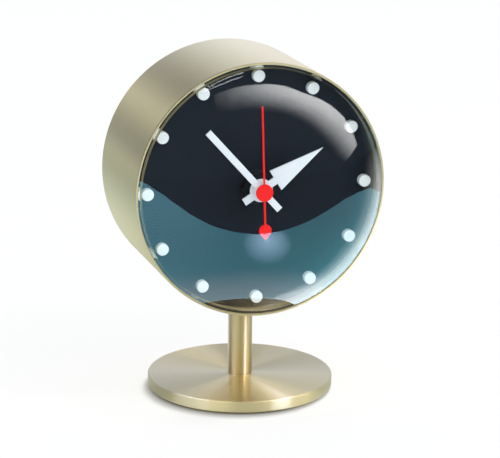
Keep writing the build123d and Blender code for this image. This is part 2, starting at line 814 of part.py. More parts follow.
# Stator: a soft iron plate around the rotor, with two arms that reach out to the coil's core.
with BuildPart() as stator:
    stator_high = (stator_right, stator_arm_edge)
    add_block(stator_front, stator_back, (stator_left, -stator_arm_edge), stator_high)
    add_block(
        stator_front,
        stator_back,
        (stator_window, -stator_window_half),
        (stator_right, stator_window_half),
        mode=Mode.SUBTRACT,
    )
    add_round(stator_front, stator_back, rotor_spot, magnet_radius + stator_air_gap, Mode.SUBTRACT)
save(stator, "stator")

# Coil: an iron core across the stator's arms, a moulded bobbin on it and a copper winding.
core_back = stator_back + stator_thickness
core_half = coil_core_width / 2
coil_plane = Plane(
    (coil_x, rim_y + movement_front + (stator_back + core_back) / 2, axis_height),
    x_dir=(1, 0, 0),
    z_dir=(0, 0, 1),
)
bobbin_half = stator_window_half - coil_gap
winding_length = 2 * (bobbin_half - coil_flange_thickness)
with BuildPart() as coil_core:
    core_low = (coil_x - core_half, -stator_arm_edge)
    core_high = (coil_x + core_half, stator_arm_edge)
    add_block(stator_back, core_back, core_low, core_high)
save(coil_core, "coil_core")

with BuildPart() as coil_bobbin:
    with Locations(coil_plane):
        Cylinder(coil_tube_radius, 2 * bobbin_half)
    for side in (-1, 1):
        with Locations(coil_plane.offset(side * (bobbin_half - coil_flange_thickness / 2))):
            Cylinder(coil_flange_radius, coil_flange_thickness)
    with Locations(coil_plane):
        Box(
            coil_core_width + 2 * seat_fit,
            stator_thickness + 2 * seat_fit,
            2 * bobbin_half,
            mode=Mode.SUBTRACT,
        )
save(coil_bobbin, "coil_bobbin")

with BuildPart() as coil_winding:
    with Locations(coil_plane):
        Cylinder(winding_radius, winding_length - 2 * close_fit)
        Cylinder(coil_tube_radius + close_fit, winding_length, mode=Mode.SUBTRACT)
save(coil_winding, "coil_winding")

# Circuit: a small board on two posts, with its chip under a blob of resin and the quartz crystal.
board_back = board_front + board_thickness
board_middle = ((board_low[0] + board_high[0]) / 2, (board_low[1] + board_high[1]) / 2)
chip_spot = (board_middle[0], board_low[1] + chip_up)
with BuildPart() as circuit_board:
    add_block(board_front, board_back, board_low, board_high)
save(circuit_board, "circuit_board")

with BuildPart() as control_chip:
    add_round(board_back, board_back + chip_height, chip_spot, chip_radius)
    fillet(control_chip.edges().group_by(Axis.Y)[-1], chip_height / 2)
save(control_chip, "control_chip")

crystal_plane = Plane(
    (
        board_middle[0],
        rim_y + movement_front + board_back + crystal_radius + close_fit,
        axis_height + board_low[1] + crystal_up,
    ),
    x_dir=(0, 0, 1),
    z_dir=(1, 0, 0),
)
with BuildPart() as quartz_crystal:
    with Locations(crystal_plane):
        Cylinder(crystal_radius, crystal_length)
save(quartz_crystal, "quartz_crystal")

# Battery: a standard round cell that lies across the bottom of the movement.
battery_plane = Plane(
    (-battery_length / 2, rim_y + movement_front + battery_station, axis_height + battery_height),
    x_dir=(0, 0, 1),
    z_dir=(1, 0, 0),
)
battery_body = battery_length - battery_tip_length
with BuildPart() as battery:
    with Locations(battery_plane):
        Cylinder(battery_diameter / 2, battery_body, align=at_front)
    fillet(battery.edges().filter_by(GeomType.CIRCLE), case_edge_round)
    with Locations(battery_plane):
        Cylinder(battery_tip_diameter / 2, battery_length, align=at_front)
save(battery, "battery")

# Contacts: a sprung strip at each end of the bay, with a dimple that faces the cell.
contact_face = movement_inner - seat_fit
contact_reach = contact_face - battery_length / 2 - contact_gap
for side, name in ((1, "battery_contact_positive"), (-1, "battery_contact_negative")):
    strip_plane = Plane(
        (side * contact_face, rim_y + movement_front + battery_station, axis_height + battery_height),
        x_dir=(0, 0, 1),
        z_dir=(-side, 0, 0),
    )
    with BuildPart() as contact:
        with Locations(strip_plane):
            Box(contact_width, contact_width, contact_thickness, align=at_front)
            Cylinder(contact_dimple_diameter / 2, contact_reach, align=at_front)
    save(contact, name)

# Hour hand: a flat white arrow on the hour pipe. Its angle follows from the minute hand's.
hour_ratio = (minute_teeth / cannon_teeth) * (hour_teeth / minute_pinion_teeth)
hour_hand_angle = whole_hour_angle + hour_hand_lead + minute_hand_angle / hour_ratio
hour_tip = peg_edge_radius - hour_tip_gap


def hand_plane(depth, turn):
    """A plane across the drum whose local Y points along a hand."""
    across = (cos(radians(turn)), 0, -sin(radians(turn)))
    return Plane((0, rim_y + depth, axis_height), x_dir=across, z_dir=(0, -1, 0))


with BuildPart() as hour_hand:
    with BuildSketch(hand_plane(hour_hand_depth + hand_thickness, hour_hand_angle)):
        Circle(hour_hub_diameter / 2)
        with Locations((0, (hour_barb - hour_tail) / 2)):
            Rectangle(hour_neck_width, hour_barb + hour_tail)
        barb_half = hour_barb_width / 2
        Polygon((-barb_half, hour_barb), (barb_half, hour_barb), (0, hour_tip), align=None)
        Circle(hour_pipe_radius + close_fit, mode=Mode.SUBTRACT)
    extrude(amount=hand_thickness)
save(hour_hand, "hour_hand")

# Minute hand: a flat white bar on the minute pipe.
minute_tip = peg_edge_radius - minute_tip_gap
with BuildPart() as minute_hand:
    with BuildSketch(hand_plane(minute_hand_depth + hand_thickness, minute_hand_angle)):
        Circle(minute_hub_diameter / 2)
        with Locations((0, (minute_tip - minute_tail) / 2)):
            Rectangle(minute_width, minute_tip + minute_tail)
        Circle(minute_pipe_radius + close_fit, mode=Mode.SUBTRACT)
    extrude(amount=hand_thickness)
save(minute_hand, "minute_hand")

# Second hand: a red needle with a drop-shaped counterweight and a round cap on the second arbor.
second_tip = peg_edge_radius - second_tip_gap
drop_radius = second_drop_diameter / 2
drop_side = acos(drop_radius / (second_tail_point - second_drop_centre))
drop_touch_x = drop_radius * sin(drop_side)
drop_touch_up = -second_drop_centre - drop_radius * cos(drop_side)
with BuildPart() as second_hand:
    with BuildSketch(hand_plane(second_hand_depth + second_hand_thickness, second_hand_angle)):
        Circle(second_hub_diameter / 2)
        Polygon(
            (-second_root_width / 2, -second_drop_centre),
            (second_root_width / 2, -second_drop_centre),
            (second_root_width / 2, 0),
            (second_tip_width / 2, second_tip),
            (-second_tip_width / 2, second_tip),
            (-second_root_width / 2, 0),
            align=None,
        )
        with Locations((0, -second_drop_centre)):
            Circle(drop_radius)
        Polygon(
            (-drop_touch_x, drop_touch_up),
            (0, -second_tail_point),
            (drop_touch_x, drop_touch_up),
            (0, -second_drop_centre),
            align=None,
        )
    extrude(amount=second_hand_thickness)
    with Locations(head_plane(second_hand_depth)):
        Cylinder(second_hub_diameter / 2, second_hub_height - second_hand_thickness, align=at_front)
    cap_edges = second_hand.edges().group_by(Axis.Y)[0]
    fillet(cap_edges, (second_hub_height - second_hand_thickness) / 2)
    add_round(second_arbor_end, 0, centre_spot, second_arbor_radius + close_fit, Mode.SUBTRACT)
save(second_hand, "second_hand")

# Rear ring: a brass ring soldered near the back, tapped for the cover's screws.
cover_back = case_length - rear_recess
cover_front = cover_back - cover_thickness
cover_screw_circle = bore_radius - rear_ring_width / 2
cover_screw_start = quarter_turn - cover_screw_angle
with BuildPart() as rear_ring:
    with Locations(head_plane(cover_front)):
        Cylinder(bore_radius - close_fit, rear_ring_thickness, align=at_front)
        Cylinder(bore_radius - rear_ring_width, rear_ring_thickness, align=at_front, mode=Mode.SUBTRACT)
        with PolarLocations(cover_screw_circle, cover_screw_count, start_angle=cover_screw_start):
            Cylinder(
                cover_screw_diameter / 2 + close_fit,
                rear_ring_thickness,
                align=at_front,
                mode=Mode.SUBTRACT,
            )
save(rear_ring, "rear_ring")

# Rear cover: a moulded disc with a square well that leads to the movement's knob and battery.
# The well is as wide as its rounded corners allow inside the ring. Its window fits the movement.
well_reach = bore_radius - rear_ring_width - loose_fit
well_outside_corner = well_corner + well_wall
well_outside = 2 * ((well_reach - well_outside_corner) / sqrt(2) + well_outside_corner)
well_inside = well_outside - 2 * well_wall
window_middle = (0, (bay_bottom + train_room_above) / 2)
well_front = movement_depth + well_floor_gap
well_back = cover_back - movement_front
with BuildPart() as rear_cover:
    with Locations(head_plane(cover_back)):
        Cylinder(bore_radius - loose_fit, cover_thickness, align=at_front)
        with PolarLocations(cover_screw_circle, cover_screw_count, start_angle=cover_screw_start):
            Cylinder(
                cover_screw_diameter / 2 + loose_fit,
                cover_thickness,
                align=at_front,
                mode=Mode.SUBTRACT,
            )
    with BuildSketch(train_plane(well_back)):
        RectangleRounded(well_outside, well_outside, well_outside_corner)
    extrude(amount=well_back - well_front)
    with BuildSketch(train_plane(well_back)):
        RectangleRounded(well_inside, well_inside, well_corner)
    extrude(amount=well_back - well_front - well_floor, mode=Mode.SUBTRACT)
    with BuildSketch(train_plane(well_back, window_middle)):
        RectangleRounded(2 * movement_inner, train_room_above - bay_bottom, window_corner)
    extrude(amount=well_back - well_front, mode=Mode.SUBTRACT)
save(rear_cover, "rear_cover")

# Cover screws: pan heads through the cover into the rear ring.
with BuildPart() as cover_screws:
    with Locations(head_plane(cover_back + cover_screw_head_height)):
        with PolarLocations(cover_screw_circle, cover_screw_count, start_angle=cover_screw_start):
            Cylinder(cover_screw_head / 2, cover_screw_head_height, align=at_front)
    with Locations(head_plane(cover_back)):
        with PolarLocations(cover_screw_circle, cover_screw_count, start_angle=cover_screw_start):
            Cylinder(
                cover_screw_diameter / 2,
                cover_thickness + rear_ring_thickness,
                align=at_front,
            )
save(cover_screws, "cover_screws")
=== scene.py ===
from math import asin, cos, pi, radians, sin, sqrt

import bmesh
import bpy
from mathutils import Matrix, Vector


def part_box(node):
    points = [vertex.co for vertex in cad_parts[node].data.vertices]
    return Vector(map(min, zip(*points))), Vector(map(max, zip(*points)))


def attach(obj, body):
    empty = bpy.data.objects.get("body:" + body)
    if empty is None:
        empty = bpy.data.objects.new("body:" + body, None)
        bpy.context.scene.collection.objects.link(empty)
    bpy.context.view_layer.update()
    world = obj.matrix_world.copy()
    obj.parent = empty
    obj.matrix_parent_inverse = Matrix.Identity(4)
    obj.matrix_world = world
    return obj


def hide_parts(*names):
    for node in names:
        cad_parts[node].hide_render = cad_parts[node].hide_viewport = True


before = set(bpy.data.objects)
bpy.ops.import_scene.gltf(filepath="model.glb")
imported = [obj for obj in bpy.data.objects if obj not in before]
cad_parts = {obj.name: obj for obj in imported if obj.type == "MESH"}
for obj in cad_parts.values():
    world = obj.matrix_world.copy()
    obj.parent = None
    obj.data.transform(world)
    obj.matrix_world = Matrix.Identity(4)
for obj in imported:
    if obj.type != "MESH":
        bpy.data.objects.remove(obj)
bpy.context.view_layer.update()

# Foot: a thin rubber disc stuck under the base, moulded flat with a fine matt grain.
# Only its dark edge shows, as a line between the brass and the table.
MM = 0.001


def linear(hex_colour):
    """A linear colour from an sRGB hex value."""
    parts = [int(hex_colour[i:i + 2], 16) / 255 for i in (1, 3, 5)]
    return (*[c / 12.92 if c <= 0.04045 else ((c + 0.055) / 1.055) ** 2.4 for c in parts], 1.0)


def add_node(tree, kind, settings=None, links=None, stops=()):
    """Adds a node, sets its inputs or options by name, links other outputs to it and sets a ramp's stops."""
    made = tree.nodes.new(kind)
    for key, value in (settings or {}).items():
        if isinstance(key, int) or key in made.inputs:
            made.inputs[key].default_value = value
        else:
            setattr(made, key, value)
    for key, output in (links or {}).items():
        tree.links.new(output, made.inputs[key])
    while stops and len(made.color_ramp.elements) < len(stops):
        made.color_ramp.elements.new(0.5)
    for i, (at, colour) in enumerate(stops):
        made.color_ramp.elements[i].position = at
        made.color_ramp.elements[i].color = (*colour, 1.0)
    return made


def new_material(name):
    """An empty node material and its tree."""
    made = bpy.data.materials.new(name)
    made.use_nodes = True
    made.node_tree.nodes.clear()
    return made, made.node_tree


def add_grain(tree, size, detail, dark, pale):
    """A noise of a real size and a colour that follows it, as the outputs of the two nodes."""
    place = add_node(tree, "ShaderNodeTexCoord")
    grain = add_node(
        tree, "ShaderNodeTexNoise", {"Scale": 1 / size, "Detail": detail}, {"Vector": place.outputs["Object"]}
    )
    tone = add_node(
        tree, "ShaderNodeMix", {"data_type": "RGBA", 6: linear(dark), 7: linear(pale)},
        {0: grain.outputs["Fac"]},
    )
    return grain.outputs["Fac"], tone.outputs[2]


def dress(material, *names):
    """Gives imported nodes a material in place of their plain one."""
    for name in names:
        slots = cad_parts[name].data.materials
        slots.clear()
        slots.append(material)


# Moulded nitrile rubber: dull and nearly black, with a grain of about half a millimetre.
RUBBER_GRAIN = 0.5 * MM
rubber, tree = new_material("moulded_nitrile_rubber")
grain, tone = add_grain(tree, RUBBER_GRAIN, 3.0, "#151515", "#232323")
bump = add_node(tree, "ShaderNodeBump", {"Strength": 0.3, "Distance": 0.05 * MM}, {"Height": grain})
skin = add_node(
    tree, "ShaderNodeBsdfPrincipled", {"Roughness": 0.75},
    {"Base Color": tone, "Normal": bump.outputs["Normal"]},
)
add_node(tree, "ShaderNodeOutputMaterial", None, {"Surface": skin.outputs["BSDF"]})
dress(rubber, "base_foot", "movement_washer")

# Base: a thick brass disc, faced on a lathe so that its top carries fine circular tool marks.
# Its edges are broken by a narrow bevel. It is bored and recessed below for one screw.
low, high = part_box("base_disc")
BASE_RADIUS = (high.x - low.x) / 2
BASE_BEVEL = 0.4 * MM
BASE_EASE = 0.12 * MM
EDGE_SHARE = 0.45
SCREW_BORE = 2.75 * MM
HEAD_RECESS_RADIUS = 4.5 * MM
HEAD_RECESS_DEPTH = 3.2 * MM


def eased(corners, radius, steps=3):
    """A closed outline with each corner replaced by a curve, which takes less than half of each edge."""
    points = []
    for i, corner in enumerate(corners):
        here = Vector(corner)
        before, after = Vector(corners[i - 1]), Vector(corners[(i + 1) % len(corners)])
        reach_in = min(radius, (before - here).length * EDGE_SHARE)
        reach_out = min(radius, (after - here).length * EDGE_SHARE)
        start = here + (before - here).normalized() * reach_in
        end = here + (after - here).normalized() * reach_out
        for step in range(steps + 1):
            t = step / steps
            points.append(tuple(start * (1 - t) ** 2 + here * 2 * t * (1 - t) + end * t ** 2))
    return points


def mesh_piece(name, points, faces, sharp_over=40):
    """A mesh object with faces turned outwards, smooth but for edges sharper than an angle."""
    mesh = bpy.data.meshes.new(name)
    mesh.from_pydata(points, [], faces)
    shape = bmesh.new()
    shape.from_mesh(mesh)
    bmesh.ops.recalc_face_normals(shape, faces=shape.faces)
    shape.to_mesh(mesh)
    shape.free()
    mesh.shade_smooth()
    mesh.set_sharp_from_angle(angle=radians(sharp_over))
    made = bpy.data.objects.new(name, mesh)
    bpy.context.scene.collection.objects.link(made)
    return made


def turned(name, profile, stand, steps=192, sharp_over=40):
    """A turned piece: a closed profile of (radius, height) spun about its height, then placed."""
    points, rings = [], []
    for radius, height in profile:
        count = steps if radius > 1e-9 else 1
        rings.append(range(len(points), len(points) + count))
        for step in range(count):
            turn = 2 * pi * step / steps
            points.append(stand @ Vector((radius * cos(turn), radius * sin(turn), height)))
    faces = []
    for ring, after in zip(rings, rings[1:] + rings[:1]):
        for step in range(steps):
            follow = (step + 1) % steps
            if len(ring) > 1 and len(after) > 1:
                faces.append((ring[step], ring[follow], after[follow], after[step]))
            elif len(ring) > 1:
                faces.append((ring[step], ring[follow], after[0]))
            elif len(after) > 1:
                faces.append((ring[0], after[follow], after[step]))
    return mesh_piece(name, points, faces, sharp_over)


def place_piece(piece, material, body, slot, *nodes):
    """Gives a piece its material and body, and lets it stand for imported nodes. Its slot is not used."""
    piece.data.materials.append(material)
    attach(piece, body)
    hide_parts(*nodes)


base_profile = eased(
    [
        (SCREW_BORE, high.z),
        (BASE_RADIUS - BASE_BEVEL, high.z),
        (BASE_RADIUS, high.z - BASE_BEVEL),
        (BASE_RADIUS, low.z + BASE_BEVEL),
        (BASE_RADIUS - BASE_BEVEL, low.z),
        (HEAD_RECESS_RADIUS, low.z),
        (HEAD_RECESS_RADIUS, low.z + HEAD_RECESS_DEPTH),
        (SCREW_BORE, low.z + HEAD_RECESS_DEPTH),
    ],
    BASE_EASE,
)
base = turned("base", base_profile, Matrix.Identity(4), steps=256)

# Faced brass: yellow metal with circular tool marks, which draw light out in wedges from the centre.
# Real marks are about a twentieth of a millimetre apart, too fine to show, so they are drawn coarser.
TOOL_MARK = 0.35 * MM
TOOL_MARK_LENGTH = 60 * MM
faced_brass, tree = new_material("faced_brass")
place = add_node(tree, "ShaderNodeTexCoord")
flat = add_node(
    tree, "ShaderNodeVectorMath", {"operation": "MULTIPLY", 1: (1, 1, 0)}, {0: place.outputs["Object"]}
)
reach = add_node(tree, "ShaderNodeVectorMath", {"operation": "LENGTH"}, {0: flat.outputs["Vector"]})
across = add_node(
    tree, "ShaderNodeMath", {"operation": "MULTIPLY", 1: 1 / TOOL_MARK}, {0: reach.outputs["Value"]}
)
along = add_node(
    tree, "ShaderNodeVectorMath", {"operation": "SCALE", "Scale": 1 / TOOL_MARK_LENGTH},
    {0: flat.outputs["Vector"]},
)
spread = add_node(tree, "ShaderNodeCombineXYZ", None, {"Z": across.outputs["Value"]})
path = add_node(
    tree, "ShaderNodeVectorMath", {"operation": "ADD"},
    {0: along.outputs["Vector"], 1: spread.outputs["Vector"]},
)
marks = add_node(
    tree, "ShaderNodeTexNoise", {"Scale": 1.0, "Detail": 2.0}, {"Vector": path.outputs["Vector"]}
)
tone = add_node(
    tree, "ShaderNodeMix", {"data_type": "RGBA", 6: linear("#D3BD8B"), 7: linear("#E2CD9C")},
    {0: marks.outputs["Fac"]},
)
gloss = add_node(
    tree, "ShaderNodeMapRange", {"To Min": 0.32, "To Max": 0.40}, {"Value": marks.outputs["Fac"]}
)
bump = add_node(
    tree, "ShaderNodeBump", {"Strength": 0.05, "Distance": 0.05 * MM}, {"Height": marks.outputs["Fac"]}
)
round_z = add_node(tree, "ShaderNodeTangent", {"direction_type": "RADIAL", "axis": "Z"})
metal = add_node(
    tree, "ShaderNodeBsdfPrincipled",
    {"Metallic": 1.0, "Anisotropic": 1.0, "Anisotropic Rotation": 0.25},
    {
        "Base Color": tone.outputs[2], "Roughness": gloss.outputs["Result"],
        "Normal": bump.outputs["Normal"], "Tangent": round_z.outputs["Tangent"],
    },
)
add_node(tree, "ShaderNodeOutputMaterial", None, {"Surface": metal.outputs["BSDF"]})
place_piece(base, faced_brass, "clock_body", "satin_brass", "base_disc")

# Screws: zinc-plated steel with cold-forged heads. One holds the base to the stem, one with a curved washer
# holds the case to it, and small ones hold the bridge over the train.

# Zinc-plated steel: a pale grey metal with a soft sheen, clouded a little by the plating's grain.
PLATING_GRAIN = 0.2 * MM
plated_steel, tree = new_material("zinc_plated_steel")
grain, tone = add_grain(tree, PLATING_GRAIN, 2.0, "#B4B7BA", "#CDD0D2")
gloss = add_node(tree, "ShaderNodeMapRange", {"To Min": 0.28, "To Max": 0.42}, {"Value": grain})
metal = add_node(
    tree, "ShaderNodeBsdfPrincipled", {"Metallic": 1.0},
    {"Base Color": tone, "Roughness": gloss.outputs["Result"]},
)
add_node(tree, "ShaderNodeOutputMaterial", None, {"Surface": metal.outputs["BSDF"]})
dress(plated_steel, "base_screw", "stem_screw", "saddle_washer", "bridge_screws")

# Stem: a drawn brass rod, tapped at both ends and polished round with fine paper.
# Its top is hollowed to sit against the round of the case.
low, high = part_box("stem")
case_low, case_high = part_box("case_body")
CASE_RADIUS = (case_high.z - case_low.z) / 2
AXIS = Vector((0, 0, (case_high.z + case_low.z) / 2))
STEM_RADIUS = (high.x - low.x) / 2
STEM_EASE = 0.15 * MM
SADDLE_GAP = 0.02 * MM
stem_profile = eased(
    [(SCREW_BORE, high.z), (STEM_RADIUS, high.z), (STEM_RADIUS, low.z), (SCREW_BORE, low.z)], STEM_EASE
)
stem = turned("stem", stem_profile, Matrix.Identity(4), steps=128)
middle = (low.z + high.z) / 2
for point in stem.data.vertices:
    if point.co.z > middle:
        saddle = AXIS.z - sqrt((CASE_RADIUS + SADDLE_GAP) ** 2 - point.co.x ** 2)
        point.co.z += saddle - high.z

# Papered brass: the same metal, with marks that run round the rod and round the drum and draw light out
# lengthways. Real marks are much finer, too close to show, so they are drawn coarser.
PAPER_MARK = 0.3 * MM
PAPER_MARK_LENGTH = 40 * MM
PAPER_GLOSS_SPREAD = 0.04


def papered_brass(name, axis, dull, bright, roughness, lengthways):
    """Brass finished with paper while it turned about an axis."""
    made, tree = new_material(name)
    place = add_node(tree, "ShaderNodeTexCoord")
    scale = [1 / PAPER_MARK_LENGTH] * 3
    scale["XYZ".index(axis)] = 1 / PAPER_MARK
    stretch = add_node(
        tree, "ShaderNodeVectorMath", {"operation": "MULTIPLY", 1: scale}, {0: place.outputs["Object"]}
    )
    marks = add_node(
        tree, "ShaderNodeTexNoise", {"Scale": 1.0, "Detail": 2.0}, {"Vector": stretch.outputs["Vector"]}
    )
    tone = add_node(
        tree, "ShaderNodeMix", {"data_type": "RGBA", 6: linear(dull), 7: linear(bright)},
        {0: marks.outputs["Fac"]},
    )
    gloss = add_node(
        tree, "ShaderNodeMapRange",
        {"To Min": roughness - PAPER_GLOSS_SPREAD, "To Max": roughness + PAPER_GLOSS_SPREAD},
        {"Value": marks.outputs["Fac"]},
    )
    bump = add_node(
        tree, "ShaderNodeBump", {"Strength": 0.04, "Distance": 0.05 * MM}, {"Height": marks.outputs["Fac"]}
    )
    turn = add_node(tree, "ShaderNodeTangent", {"direction_type": "RADIAL", "axis": axis})
    metal = add_node(
        tree, "ShaderNodeBsdfPrincipled",
        {"Metallic": 1.0, "Anisotropic": lengthways, "Anisotropic Rotation": 0.25},
        {
            "Base Color": tone.outputs[2], "Roughness": gloss.outputs["Result"],
            "Normal": bump.outputs["Normal"], "Tangent": turn.outputs["Tangent"],
        },
    )
    add_node(tree, "ShaderNodeOutputMaterial", None, {"Surface": metal.outputs["BSDF"]})
    return made


rod_brass = papered_brass("papered_brass_rod", "Z", "#C5AF7C", "#D4BE8C", roughness=0.36, lengthways=1.0)
place_piece(stem, rod_brass, "clock_body", "satin_brass", "stem")

# Case: a length of brass tube, papered round on the lathe to a satin finish.
# A seat turned in its front leaves a thin rim round the lens, and both ends are lightly rounded.
FACING = Matrix.Translation((0, case_low.y, AXIS.z)) @ Matrix.Rotation(radians(90), 4, "X")
CASE_WALL = 1.8 * MM
RIM_WIDTH = 1.0 * MM
LENS_SEAT_DEPTH = 2.4 * MM
CASE_EASE = 0.3 * MM
case_length = case_high.y - case_low.y
case_profile = eased(
    [
        (CASE_RADIUS - RIM_WIDTH, 0),
        (CASE_RADIUS, 0),
        (CASE_RADIUS, -case_length),
        (CASE_RADIUS - CASE_WALL, -case_length),
        (CASE_RADIUS - CASE_WALL, -LENS_SEAT_DEPTH),
        (CASE_RADIUS - RIM_WIDTH, -LENS_SEAT_DEPTH),
    ],
    CASE_EASE,
    steps=4,
)
case = turned("case", case_profile, FACING, steps=256)
tube_brass = papered_brass("papered_brass_tube", "Y", "#D3BD8B", "#E2CD9C", roughness=0.42, lengthways=0.9)
place_piece(case, tube_brass, "clock_body", "satin_brass", "case_body")
dress(tube_brass, "dial_ring", "rear_ring")

# Dial: a stamped aluminium disc, sprayed with a smooth blue-black lacquer.
# It lies on a ring inside the case and is held by nuts on its three feet.

# Sprayed lacquer: a dark semi-matt blue-black, very nearly even, with a slow wave in its gloss.
LACQUER_WAVE = 20.0 * MM
lacquer, tree = new_material("blue_black_lacquer")
wave, tone = add_grain(tree, LACQUER_WAVE, 2.0, "#181E28", "#1B222D")
gloss = add_node(tree, "ShaderNodeMapRange", {"To Min": 0.42, "To Max": 0.5}, {"Value": wave})
paint = add_node(
    tree, "ShaderNodeBsdfPrincipled", {"Specular IOR Level": 0.2},
    {"Base Color": tone, "Roughness": gloss.outputs["Result"]},
)
add_node(tree, "ShaderNodeOutputMaterial", None, {"Surface": paint.outputs["BSDF"]})
dress(lacquer, "dial")

# Hour pegs: twelve white buttons moulded in acrylic, each with a spigot pressed into the dial.
# Their faces are very slightly crowned and their edges are rounded.
PEG_ROUND = 0.35 * MM
ROUND_STEPS = 4
PEG_CROWN = 0.12 * MM
CROWN_STEPS = 5
CROWN_REACH, PEG_INSET = 0.9, 0.8
SPIGOT_RADIUS = 1.2 * MM
DIAL_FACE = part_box("dial")[0].y

# White acrylic: glossy and faintly blue, with a very slight ripple from the mould.
MOULD_RIPPLE = 1.5 * MM
white_acrylic, tree = new_material("white_moulded_acrylic")
ripple, tone = add_grain(tree, MOULD_RIPPLE, 1.0, "#E9F1F5", "#EFF6F9")
bump = add_node(tree, "ShaderNodeBump", {"Strength": 0.05, "Distance": 0.02 * MM}, {"Height": ripple})
plastic = add_node(
    tree, "ShaderNodeBsdfPrincipled", {"Roughness": 0.3},
    {"Base Color": tone, "Normal": bump.outputs["Normal"]},
)
add_node(tree, "ShaderNodeOutputMaterial", None, {"Surface": plastic.outputs["BSDF"]})
for hour in range(1, 13):
    node = f"hour_marker_{hour:02d}"
    low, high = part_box(node)
    radius = (high.x - low.x) / 2
    top, shoulder = DIAL_FACE - low.y, DIAL_FACE - high.y
    crown = [
        (radius * CROWN_REACH * step / CROWN_STEPS, top - PEG_CROWN * (step / CROWN_STEPS) ** 2)
        for step in range(CROWN_STEPS)
    ]
    inset = radius * PEG_INSET
    side = eased(
        [(inset, top - PEG_CROWN * PEG_INSET), (radius, top - PEG_CROWN), (radius, 0), (inset, 0)],
        PEG_ROUND, ROUND_STEPS,
    )
    rounded = side[ROUND_STEPS + 1:3 * (ROUND_STEPS + 1)]
    profile = crown + rounded + [(SPIGOT_RADIUS, 0), (SPIGOT_RADIUS, shoulder), (0, shoulder)]
    stand = Matrix.Translation(((low.x + high.x) / 2, DIAL_FACE, (low.z + high.z) / 2))
    peg = turned(f"hour_peg_{hour:02d}", profile, stand @ Matrix.Rotation(radians(90), 4, "X"), steps=48)
    place_piece(peg, white_acrylic, "clock_body", "white_peg", node)

# Movement case: a tray and lid moulded in black ABS, in a mould with a fine matt grain.
# A blackened nut on its threaded bush holds it behind the dial, and like nuts hold the dial.
ABS_GRAIN = 0.4 * MM
GRAIN_GLOSS_SPREAD = 0.06


def fine_grained(name, dark, pale, roughness, size, relief):
    """A plain surface with a fine grain of a real size, in its colour, gloss and relief."""
    made, tree = new_material(name)
    grain, tone = add_grain(tree, size, 2.0, dark, pale)
    gloss = add_node(
        tree, "ShaderNodeMapRange",
        {"To Min": roughness - GRAIN_GLOSS_SPREAD, "To Max": roughness + GRAIN_GLOSS_SPREAD},
        {"Value": grain},
    )
    bump = add_node(tree, "ShaderNodeBump", {"Strength": relief, "Distance": 0.05 * MM}, {"Height": grain})
    skin = add_node(
        tree, "ShaderNodeBsdfPrincipled", None,
        {"Base Color": tone, "Roughness": gloss.outputs["Result"], "Normal": bump.outputs["Normal"]},
    )
    add_node(tree, "ShaderNodeOutputMaterial", None, {"Surface": skin.outputs["BSDF"]})
    return made


# Moulded ABS: black, matt and faintly grained.
black_abs = fine_grained(
    "black_moulded_abs", "#1B1B1C", "#262627", roughness=0.5, size=ABS_GRAIN, relief=0.25
)
dress(black_abs, "movement_front_case", "movement_lid")

# Blackened steel: oxide-blacked nuts and washer, dull and nearly black.
OXIDE_GRAIN = 0.3 * MM
black_steel = fine_grained(
    "oxide_blackened_steel", "#141519", "#1C1E22", roughness=0.55, size=OXIDE_GRAIN, relief=0.1
)
dress(black_steel, "movement_nut", "nut_washer", "dial_nuts")

# Train: wheels and arbors moulded in white acetal, which runs dry, under a black bridge.
# The black setting knob at the back is pressed on the end of its arbor.

# Moulded acetal: an ivory white with a soft, waxy gloss.
ACETAL_GRAIN = 0.8 * MM
acetal = fine_grained("natural_acetal", "#DEDBD0", "#E9E6DC", roughness=0.36, size=ACETAL_GRAIN, relief=0.08)
dress(
    acetal, "rotor_pinion", "intermediate_wheel", "second_wheel", "third_wheel", "centre_wheel",
    "cannon_pinion", "minute_wheel", "hour_wheel", "setting_arbor",
)
dress(black_abs, "train_bridge", "setting_knob")

# Motor: a ferrite magnet on the rotor, soft iron stator and core, and a coil of fine enamelled wire.
# The stator is stamped from sheet, and the coil's turns lie side by side on a black moulded bobbin.
FERRITE_GRAIN = 0.3 * MM
dress(black_abs, "coil_bobbin")


def metal_like_plating(name, dark, pale):
    """A metal with the grain of the plated steel and colours of its own."""
    made = plated_steel.copy()
    made.name = name
    tone = made.node_tree.nodes["Mix"]
    tone.inputs[6].default_value = linear(dark)
    tone.inputs[7].default_value = linear(pale)
    return made


# Sintered ferrite: dark grey and dull. Annealed iron: a plain grey metal with a soft sheen.
ferrite = fine_grained(
    "sintered_ferrite", "#2E2D2E", "#3C3B3B", roughness=0.6, size=FERRITE_GRAIN, relief=0.2
)
dress(ferrite, "rotor_magnet")
soft_iron = metal_like_plating("annealed_soft_iron", "#8D8B88", "#A3A19D")
dress(soft_iron, "stator", "coil_core")

# Enamelled copper wire: real turns are a twentieth of a millimetre wide, and are drawn six times that.
WIRE_PITCH = 0.3 * MM
copper_wire, tree = new_material("enamelled_copper_wire")
place = add_node(tree, "ShaderNodeTexCoord")
turns = add_node(
    tree, "ShaderNodeTexWave", {"bands_direction": "Z", "Scale": 2 * pi / 20 / WIRE_PITCH, "Distortion": 0.4},
    {"Vector": place.outputs["Object"]},
)
# The colour is darker in the grooves between turns as painted shade, and paler on their crowns as a painted
# highlight.
tone = add_node(
    tree, "ShaderNodeMix",
    {"data_type": "RGBA", 6: linear("#7A3F1E"), 7: linear("#C77B45")}, {0: turns.outputs["Fac"]},
)
bump = add_node(
    tree, "ShaderNodeBump", {"Strength": 0.6, "Distance": 0.1 * MM}, {"Height": turns.outputs["Fac"]}
)
wire = add_node(
    tree, "ShaderNodeBsdfPrincipled", {"Metallic": 0.9, "Roughness": 0.35, "Coat Weight": 0.5},
    {"Base Color": tone.outputs[2], "Normal": bump.outputs["Normal"]},
)
add_node(tree, "ShaderNodeOutputMaterial", None, {"Surface": wire.outputs["BSDF"]})
dress(copper_wire, "coil_winding")

